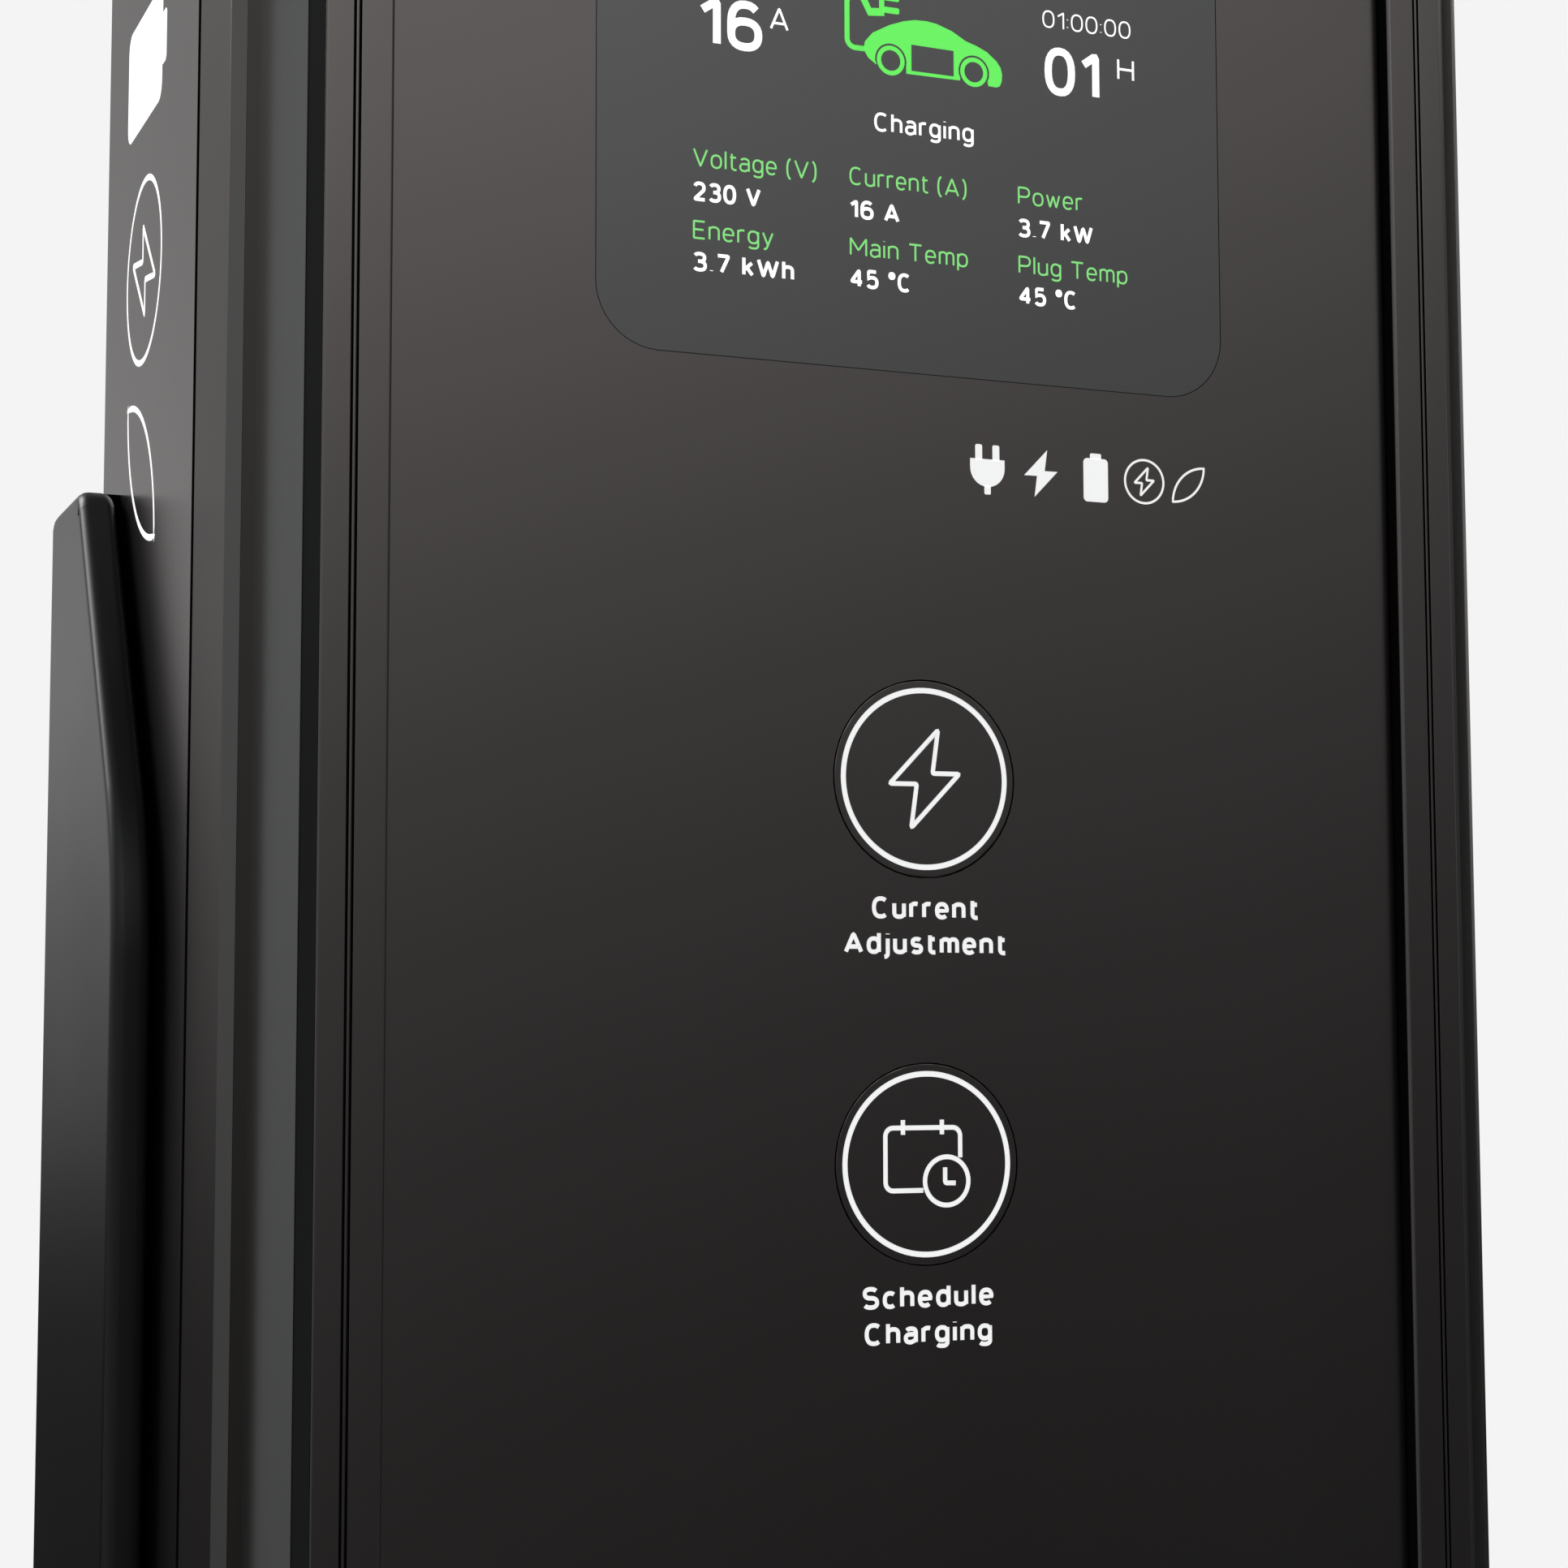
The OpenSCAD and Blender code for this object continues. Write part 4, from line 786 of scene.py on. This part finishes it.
class POST_OT_pedestal(bpy.types.Operator):
    """Rounds the pedestal channel and the ground plate, and trims the channel's rim"""

    bl_idname = "post.pedestal"
    bl_label = "Pedestal"

    base_edge = 1.3 * MM
    line_width = 0.9 * MM
    seam_shade_slot = 2            # the material of the painted seam shade's faces

    def rim(self, at, normal):
        """Whether a face belongs to the trimmed rim, which looks forward or up."""
        return abs(normal.x) < 0.97 and (normal.y < -0.15 or normal.z > 0.15)

    def fill_nicks(self, bm):
        """Closes the fine nick across each cheek's rim by lifting its floor to its upper edge."""
        floor = set()
        for edge in bm.edges:
            run = edge.verts[1].co - edge.verts[0].co
            if edge.is_manifold and abs(run.x) > 0.99 * run.length:
                if edge.calc_face_angle_signed(0) < -CREASE:
                    floor.update(edge.verts)
        for vert in floor:
            ends = [edge.other_vert(vert) for edge in vert.link_edges
                    if any(abs(face.normal.x) < 0.5 for face in edge.link_faces)]
            ends = [end for end in ends if abs(end.co.x - vert.co.x) < MERGE]
            if ends:
                top = max(ends, key=lambda end: end.co.z).co.copy()
                for moved in (vert, *ends):
                    moved.co = top
        bmesh.ops.remove_doubles(bm, verts=bm.verts, dist=MERGE)

    def paint_seam_shade(self, bm):
        """Paints the shade of the seam between skin and trim as a thin black line on each cheek's
        outer face, beside the trim.
        """
        far = -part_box("pedestal_channel")[0].x - 5 * MERGE
        outer = [face for face in bm.faces
                 if abs(face.normal.x) > 0.999 and abs(face.calc_center_median().x) > far]
        lines = bmesh.ops.inset_region(bm, faces=outer, thickness=self.line_width,
                                       use_even_offset=False)
        for face in lines["faces"]:
            beside = {other for edge in face.edges for other in edge.link_faces} - {face}
            if any(self.rim(None, other.normal) for other in beside):
                face.material_index = self.seam_shade_slot

    def lined(self, at, normal):
        """Adds no face to those that the painted seam-shade line has already given their material.
        """
        return False

    def execute(self, context):
        softened("pedestal_channel", "pedestal_channel_soft", size_of().pedestal_edge, 4,
                 regions=((edge_trim(), self.rim), (painted_seam_shade(), self.lined)),
                 prepare=self.fill_nicks, detail=self.paint_seam_shade)
        softened("base_plate", "base_plate_soft", self.base_edge, 3)
        return {"FINISHED"}


class POST_OT_socket(bpy.types.Operator):
    """Rounds the socket's flange and lid"""

    bl_idname = "post.socket"
    bl_label = "Socket"

    def execute(self, context):
        softened("socket_flange", "socket_flange_soft", size_of().moulded_edge * 0.6, 3)
        softened("socket_lid", "socket_lid_soft", size_of().moulded_edge, 3)
        return {"FINISHED"}


BOLT = [(2.3, 7.6), (-5.9, -0.9), (-1.35, -0.85), (-2.3, -7.6), (5.9, 0.9), (1.35, 0.85)]


class POST_OT_button_marks(bpy.types.Operator):
    """Prints the ring and the icon on each button and the words below it"""

    bl_idname = "post.button_marks"
    bl_label = "Button Marks"

    def ring(self, name, z, body):
        radius = (size_of().ring_diameter - size_of().ring_line) / 2 / MM
        curve = stroke([(circle(0, 0, radius, 96), True)], size_of().ring_line)
        settle(curve, name, front_place(0, z), print_ink_painted_glow(), body)

    def execute(self, context):
        line = size_of().icon_line
        self.ring("current_ring", CURRENT_Z, "current_button_body")
        self.ring("schedule_ring", SCHEDULE_Z, "schedule_button_body")
        settle(stroke([(BOLT, True)], line), "current_icon", front_place(0, CURRENT_Z),
               print_ink_painted_glow(), "current_button_body")
        left, low, right, high, corner = -6.97, -3.98, 5.58, 5.49, 1.25
        page = ([(-0.7, low)] + arc(left + corner, low + corner, corner, 270, 180, 6)
                + arc(left + corner, high - corner, corner, 180, 90, 6)
                + arc(right - corner, high - corner, corner, 90, 0, 6) + [(right, 0.9)])
        clock_x, clock_z, clock_r = 3.27, -2.63, 3.66
        lines = [(page, False), (circle(clock_x, clock_z, clock_r, 48), True),
                 ([(3.01, -0.57), (3.0, -2.93), (4.78, -2.96)], False)]
        lines += [([(x, 6.68), (x, 4.45)], False) for x in (-4.03, 2.51)]
        settle(stroke(lines, line), "schedule_icon", front_place(0, SCHEDULE_Z), print_ink_painted_glow(),
               "schedule_button_body")
        cap, middle_x, word_line, first, second = 3.42, 0.1, 0.68, -21.65, -27.05
        current, schedule = CURRENT_Z / MM, SCHEDULE_Z / MM
        for word, z, base, width in (("Current", current, first, 18.2),
                                     ("Adjustment", current, second, 27.6),
                                     ("Schedule", schedule, first, 21.9),
                                     ("Charging", schedule, second, 21.3)):
            write("label_" + word.lower(), word, middle_x, z + base, cap, width, word_line,
                  print_ink_painted_glow(), centred=True)
        return {"FINISHED"}


class POST_OT_screen(bpy.types.Operator):
    """Lights the screen's figures, labels and car symbol"""

    bl_idname = "post.screen"
    bl_label = "Screen"

    def figures(self):
        white = screen_white()
        write("amps_figure", "16", -37.24, 1278.2, 8.0, 10.5, 1.3, white)
        write("amps_unit", "A", -25.5, 1282.2, 3.65, 3.15, 0.4, white)
        write("hours_figure", "01", 22.0, 1277.7, 8.0, 9.9, 1.3, white)
        write("hours_unit", "H", 35.2, 1281.7, 3.6, 3.1, 0.4, white)
        write("time_figure", "01:00:00", 21.7, 1288.7, 2.9, 16.04, 0.28, white)
        write("state_word", "Charging", -7.94, 1268.2, 3.1, 17.23, 0.45, white)

    def readings(self):
        columns = (
            (-38.15, (("Voltage (V)", 20.4, "230 V", 11.1), ("Energy", 13.2, "3.7 kWh", 16.6))),
            (-12.2, (("Current (A)", 20.15, "16 A", 8.5), ("Main Temp", 20.3, "45 °C", 10.2))),
            (17.0, (("Power", 11.66, "3.7 kW", 13.4), ("Plug Temp", 19.6, "45 °C", 10.2))),
        )
        rows = ((1259.2, 1253.9), (1248.0, 1243.0))
        for column, (left, cells) in enumerate(columns):
            for row, (label, label_w, value, value_w) in enumerate(cells):
                tag = f"{column}{row}"
                write("reading_name_" + tag, label, left, rows[row][0], 2.93, label_w, 0.32,
                      label_green())
                write("reading_" + tag, value, left, rows[row][1], 3.05, value_w, 0.56,
                      screen_white())

    def green(self, name, curve):
        settle(curve, name, front_place(0, 0), screen_green(), POST)

    def car(self):
        wheels = ((-5.05, 1279.84), (9.4, 1279.75))
        arch = 2.72
        rear, nose = wheels
        body = [(-7.55, 1278.9), (-8.9, 1279.8), (-9.73, 1281.1), (-9.44, 1282.4),
                (-8.15, 1283.9), (-5.26, 1285.5), (-2.9, 1286.4), (-0.9, 1286.87), (1.2, 1286.95),
                (2.9, 1286.75), (5.6, 1285.9), (8.0, 1284.6), (9.9, 1284.05), (11.7, 1283.3),
                (13.4, 1282.0), (14.1, 1281.05), (14.38, 1280.0), (14.3, 1278.8), (13.95, 1278.0),
                (13.4, 1277.75), (11.95, 1277.8)]
        body += arc(*nose, arch, -28, 208, 14)
        body += [(nose[0] - arch + 0.25, 1278.1), (rear[0] + arch - 0.05, 1278.05)]
        body += arc(*rear, arch, -12, 200, 14)
        door = [(-1.5, 1278.6), (5.87, 1278.6), (5.87, 1282.75), (-1.5, 1282.85)]
        self.green("car_symbol", filled([body, door]))
        rings = [(circle(x, z, 2.02, 40), True) for x, z in wheels]
        self.green("car_wheels", stroke(rings, 0.74 * MM))
        lead = ([(-9.6, 1281.15)] + arc(-11.1, 1282.55, 1.4, 270, 180, 8)
                + arc(-11.1, 1288.3, 1.4, 180, 90, 8) + [(-9.8, 1289.4)])
        self.green("car_lead", stroke([(lead, False)], 0.86 * MM))
        shell = [(-6.13, 1286.85), (-6.13, 1291.1), (-8.86, 1291.3), (-10.2, 1289.9),
                 (-10.2, 1289.0), (-8.86, 1286.55)]
        hollow = [(-7.0, 1288.0), (-7.0, 1290.2), (-8.5, 1290.3), (-9.2, 1289.5), (-8.4, 1287.85)]
        self.green("car_plug", filled([shell, hollow]))
        pins = [rounded(-6.2, z, -3.55, z + 0.98, 0.3) for z in (1287.4, 1289.4)]
        self.green("car_plug_pins", filled(pins))

    def execute(self, context):
        self.figures()
        self.readings()
        self.car()
        return {"FINISHED"}


def plug_sign():
    """A plug with two pins above and its lead below."""
    body = [(-3.0, 1.6), (3.0, 1.6), (3.0, 0.2)] + arc(0, 0.2, 3.0, 0, -180, 16)
    return [body, rounded(-2.1, 1.4, -0.9, 3.9, 0.3), rounded(0.9, 1.4, 2.1, 3.9, 0.3),
            rounded(-0.55, -4.0, 0.55, -2.6, 0.2)]


def cell_sign():
    """A battery cell standing upright."""
    return [rounded(-2.2, -3.9, 2.2, 3.1, 0.7), rounded(-1.0, 3.0, 1.0, 3.9, 0.25)]


def ring_sign():
    """A bolt in a ring."""
    return [circle(0, 0, 3.5, 64), resized(BOLT, 0.3)]


def leaf_sign():
    """A leaf between two arcs."""
    return [arc(-3.0, 3.0, 5.9, -90, 0, 16) + arc(3.0, -3.0, 5.9, 90, 180, 16)]


SOLID_SIGNS = (("plug", plug_sign), ("bolt", lambda: [resized(BOLT, 0.5)]), ("cell", cell_sign))
LINE_SIGNS = (("ring", ring_sign), ("leaf", leaf_sign))


class POST_OT_pictograms(bpy.types.Operator):
    """Prints the row of pictograms on the front and the column of them on the left side"""

    bl_idname = "post.pictograms"
    bl_label = "Pictograms"

    def signs(self, group, scale, line, places):
        """Three solid signs and two outlined ones, at the given places."""
        for (name, shape), place in zip(SOLID_SIGNS, places):
            for part, outline in enumerate(shape()):
                settle(filled([resized(outline, scale)]), f"{group}_{name}_{part}", place,
                       print_ink_painted_glow(), POST)
        for (name, shape), place in zip(LINE_SIGNS, places[len(SOLID_SIGNS):]):
            lines = [(resized(outline, scale), True) for outline in shape()]
            settle(stroke(lines, line), f"{group}_{name}", place, print_ink_painted_glow(), POST)

    def execute(self, context):
        row_z, row_x = 1216.1, (11.2, 20.6, 30.4, 39.2, 47.3)
        self.signs("front", 1.0, 0.38 * MM, [front_place(x * MM, row_z * MM) for x in row_x])
        depth, column_z = 79.3, (1358, 1324, 1290.3, 1255, 1221)
        self.signs("side", 4.4, 1.1 * MM, [side_place(depth * MM, z * MM) for z in column_z])
        return {"FINISHED"}


# ---- studio ----
# radiance of the studio by elevation in degrees, towards the front, the left and the back
FRONT_LIGHT = ((-60, 0.01), (-20, 0.028), (-10, 0.060), (-5, 0.082), (0, 0.113), (4.8, 0.178),
               (9.8, 0.265), (14.6, 0.43), (19.4, 0.75), (28, 0.82), (50, 0.3), (90, 0.12))
SIDE_LIGHT = ((-60, 0.05), (-8, 0.225), (6, 0.35), (18, 0.42), (40, 0.3), (90, 0.12))
BACK_LIGHT = ((-60, 0.01), (-8.7, 0.02), (-5.9, 0.026), (-4.2, 0.036), (-2.5, 0.08),
              (-1.7, 0.14), (0.9, 0.22), (2.6, 0.28), (4.5, 0.38), (8, 0.48), (12, 0.42),
              (19.4, 0.34), (25, 0.32), (50, 0.3), (90, 0.12))
SIDE_TONE = (0.93, 1.0, 1.01)
# from and to which x or y of a direction the light changes, and from and to which value
FRONT_DIM = (0.0, 0.6, 1.3, 0.6)
FLANK_DIM = (-0.1, 0.5, 1.0, 0.6)
SIDE_TO_BACK = (-0.2, 0.6, 0, 1)
FRONT_TO_FLANK = (-0.82, -0.45, 0, 1)


class POST_OT_stage(bpy.types.Operator):
    """Sets the floor, the studio light and the camera"""

    bl_idname = "post.stage"
    bl_label = "Studio"

    def floor(self):
        bm = bmesh.new()
        bmesh.ops.create_circle(bm, cap_ends=True, segments=96, radius=1.9)
        bmesh.ops.translate(bm, vec=(0, 0, CAD_LOW.z - 0.1 * MM), verts=bm.verts)
        mesh = bpy.data.meshes.new("floor")
        bm.to_mesh(mesh)
        bm.free()
        floor = link(bpy.data.objects.new("floor", mesh))
        dress(floor, surface("pale floor", (0.86, 0.86, 0.86), (0.8, 0.9), fine=300, broad=4,
                             dust=0.0, drift=0.01))

    def ramp(self, tree, height, stops, tone=(1, 1, 1)):
        """The light at a height on the sky, from stops of elevation and radiance."""
        low, high = math.sin(math.radians(stops[0][0])), 1.0
        spread = self.fade(tree, height, low, high, 0.0, 1.0)
        ramp = add_node(tree, "ValToRGB", {"Fac": spread})
        elements = ramp.color_ramp.elements
        while len(elements) < len(stops):
            elements.new(0.5)
        for element, (degrees, light) in zip(elements, stops):
            element.position = (math.sin(math.radians(degrees)) - low) / (high - low)
            element.color = (light * tone[0], light * tone[1], light * tone[2], 1)
        return ramp.outputs["Color"]

    def fade(self, tree, value, start, end, low, high):
        return add_node(tree, "MapRange", {
            "Value": value, "From Min": start, "From Max": end, "To Min": low,
            "To Max": high}).outputs["Result"]

    def world(self):
        world = bpy.data.worlds.new("studio")
        bpy.context.scene.world = world
        world.use_nodes = True
        tree = world.node_tree
        tree.nodes.clear()
        place = add_node(tree, "TexCoord").outputs["Generated"]
        parts = add_node(tree, "SeparateXYZ", {"Vector": place})
        x, y, z = (parts.outputs[axis] for axis in "XYZ")
        front = scaled(tree, self.ramp(tree, z, FRONT_LIGHT), self.fade(tree, x, *FRONT_DIM))
        side = self.ramp(tree, z, SIDE_LIGHT, SIDE_TONE)
        back = self.ramp(tree, z, BACK_LIGHT)
        flank = scaled(tree, mixed(tree, self.fade(tree, y, *SIDE_TO_BACK), side, back),
                       self.fade(tree, x, *FLANK_DIM))
        around = mixed(tree, self.fade(tree, y, *FRONT_TO_FLANK), front, flank)
        paper = add_node(tree, "RGB")
        paper.outputs[0].default_value = (*finish_of().paper, 1)
        seen = add_node(tree, "LightPath").outputs["Is Camera Ray"]
        light = add_node(tree, "Background", {
            "Color": mixed(tree, seen, around, paper.outputs[0])})
        add_node(tree, "OutputWorld", {"Surface": light.outputs["Background"]})

    def softboxes(self):
        """Two large soft lamps behind the post, one to each side, which light the floor."""
        beside, behind, above, target = 1.9, 1.7, 3.0, Vector((0, 0, 0.3))
        for side in (-1, 1):
            lamp = bpy.data.lights.new("softbox", "AREA")
            lamp.shape = "DISK"
            lamp.size = 1.6
            lamp.energy = 60
            light = link(bpy.data.objects.new("softbox", lamp))
            stand = Vector((side * beside, behind, above))
            aim = target - stand
            turn = aim.to_track_quat("-Z", "Y").to_matrix().to_4x4()
            light.matrix_world = Matrix.Translation(stand) @ turn

    def camera(self):
        lens, yaw, pitch, roll = 68.733, 22.39, 5.012, 0.1406
        below_button, left_of_post, before_front = 0.04104, 0.1950, 0.41374
        camera = bpy.data.cameras.new("camera")
        camera.lens = lens
        camera.sensor_width = 36
        camera.clip_start = 0.01
        camera.dof.use_dof = False
        eye = link(bpy.data.objects.new("camera", camera))
        turn = (Matrix.Rotation(math.radians(-yaw), 4, "Z")
                @ Matrix.Rotation(math.radians(90 + pitch), 4, "X")
                @ Matrix.Rotation(math.radians(-roll), 4, "Z"))
        spot = (-left_of_post, FRONT_Y - before_front, CURRENT_Z - below_button)
        eye.matrix_world = Matrix.Translation(spot) @ turn
        bpy.context.scene.camera = eye

    def execute(self, context):
        self.floor()
        self.world()
        self.softboxes()
        self.camera()
        view = context.scene.view_settings
        view.view_transform = "Standard"
        view.look = "None"
        return {"FINISHED"}


OPERATORS = (POST_OT_stage, POST_OT_finishes, POST_OT_column, POST_OT_pedestal, POST_OT_socket,
             POST_OT_button_marks, POST_OT_screen, POST_OT_pictograms)


class POST_PT_panel(bpy.types.Panel):
    """Lists the post's settings and its build steps"""

    bl_idname = "POST_PT_panel"
    bl_label = "Charging Post"
    bl_space_type = "VIEW_3D"
    bl_region_type = "UI"
    bl_category = "Charging Post"

    def draw(self, context):
        layout = self.layout
        for group in (context.scene.post_finish, context.scene.post_size):
            for name in group.__annotations__:
                layout.prop(group, name)
        for operator in OPERATORS:
            layout.operator(operator.bl_idname)


CLASSES = (POST_PG_finish, POST_PG_size, *OPERATORS, POST_PT_panel)


def register():
    for cls in CLASSES:
        bpy.utils.register_class(cls)
    bpy.types.Scene.post_finish = PointerProperty(type=POST_PG_finish)
    bpy.types.Scene.post_size = PointerProperty(type=POST_PG_size)


def unregister():
    del bpy.types.Scene.post_size
    del bpy.types.Scene.post_finish
    for cls in reversed(CLASSES):
        bpy.utils.unregister_class(cls)


def main():
    register()
    for operator in OPERATORS:
        group, name = operator.bl_idname.split(".")
        getattr(getattr(bpy.ops, group), name)()


if __name__ == "__main__":
    main()
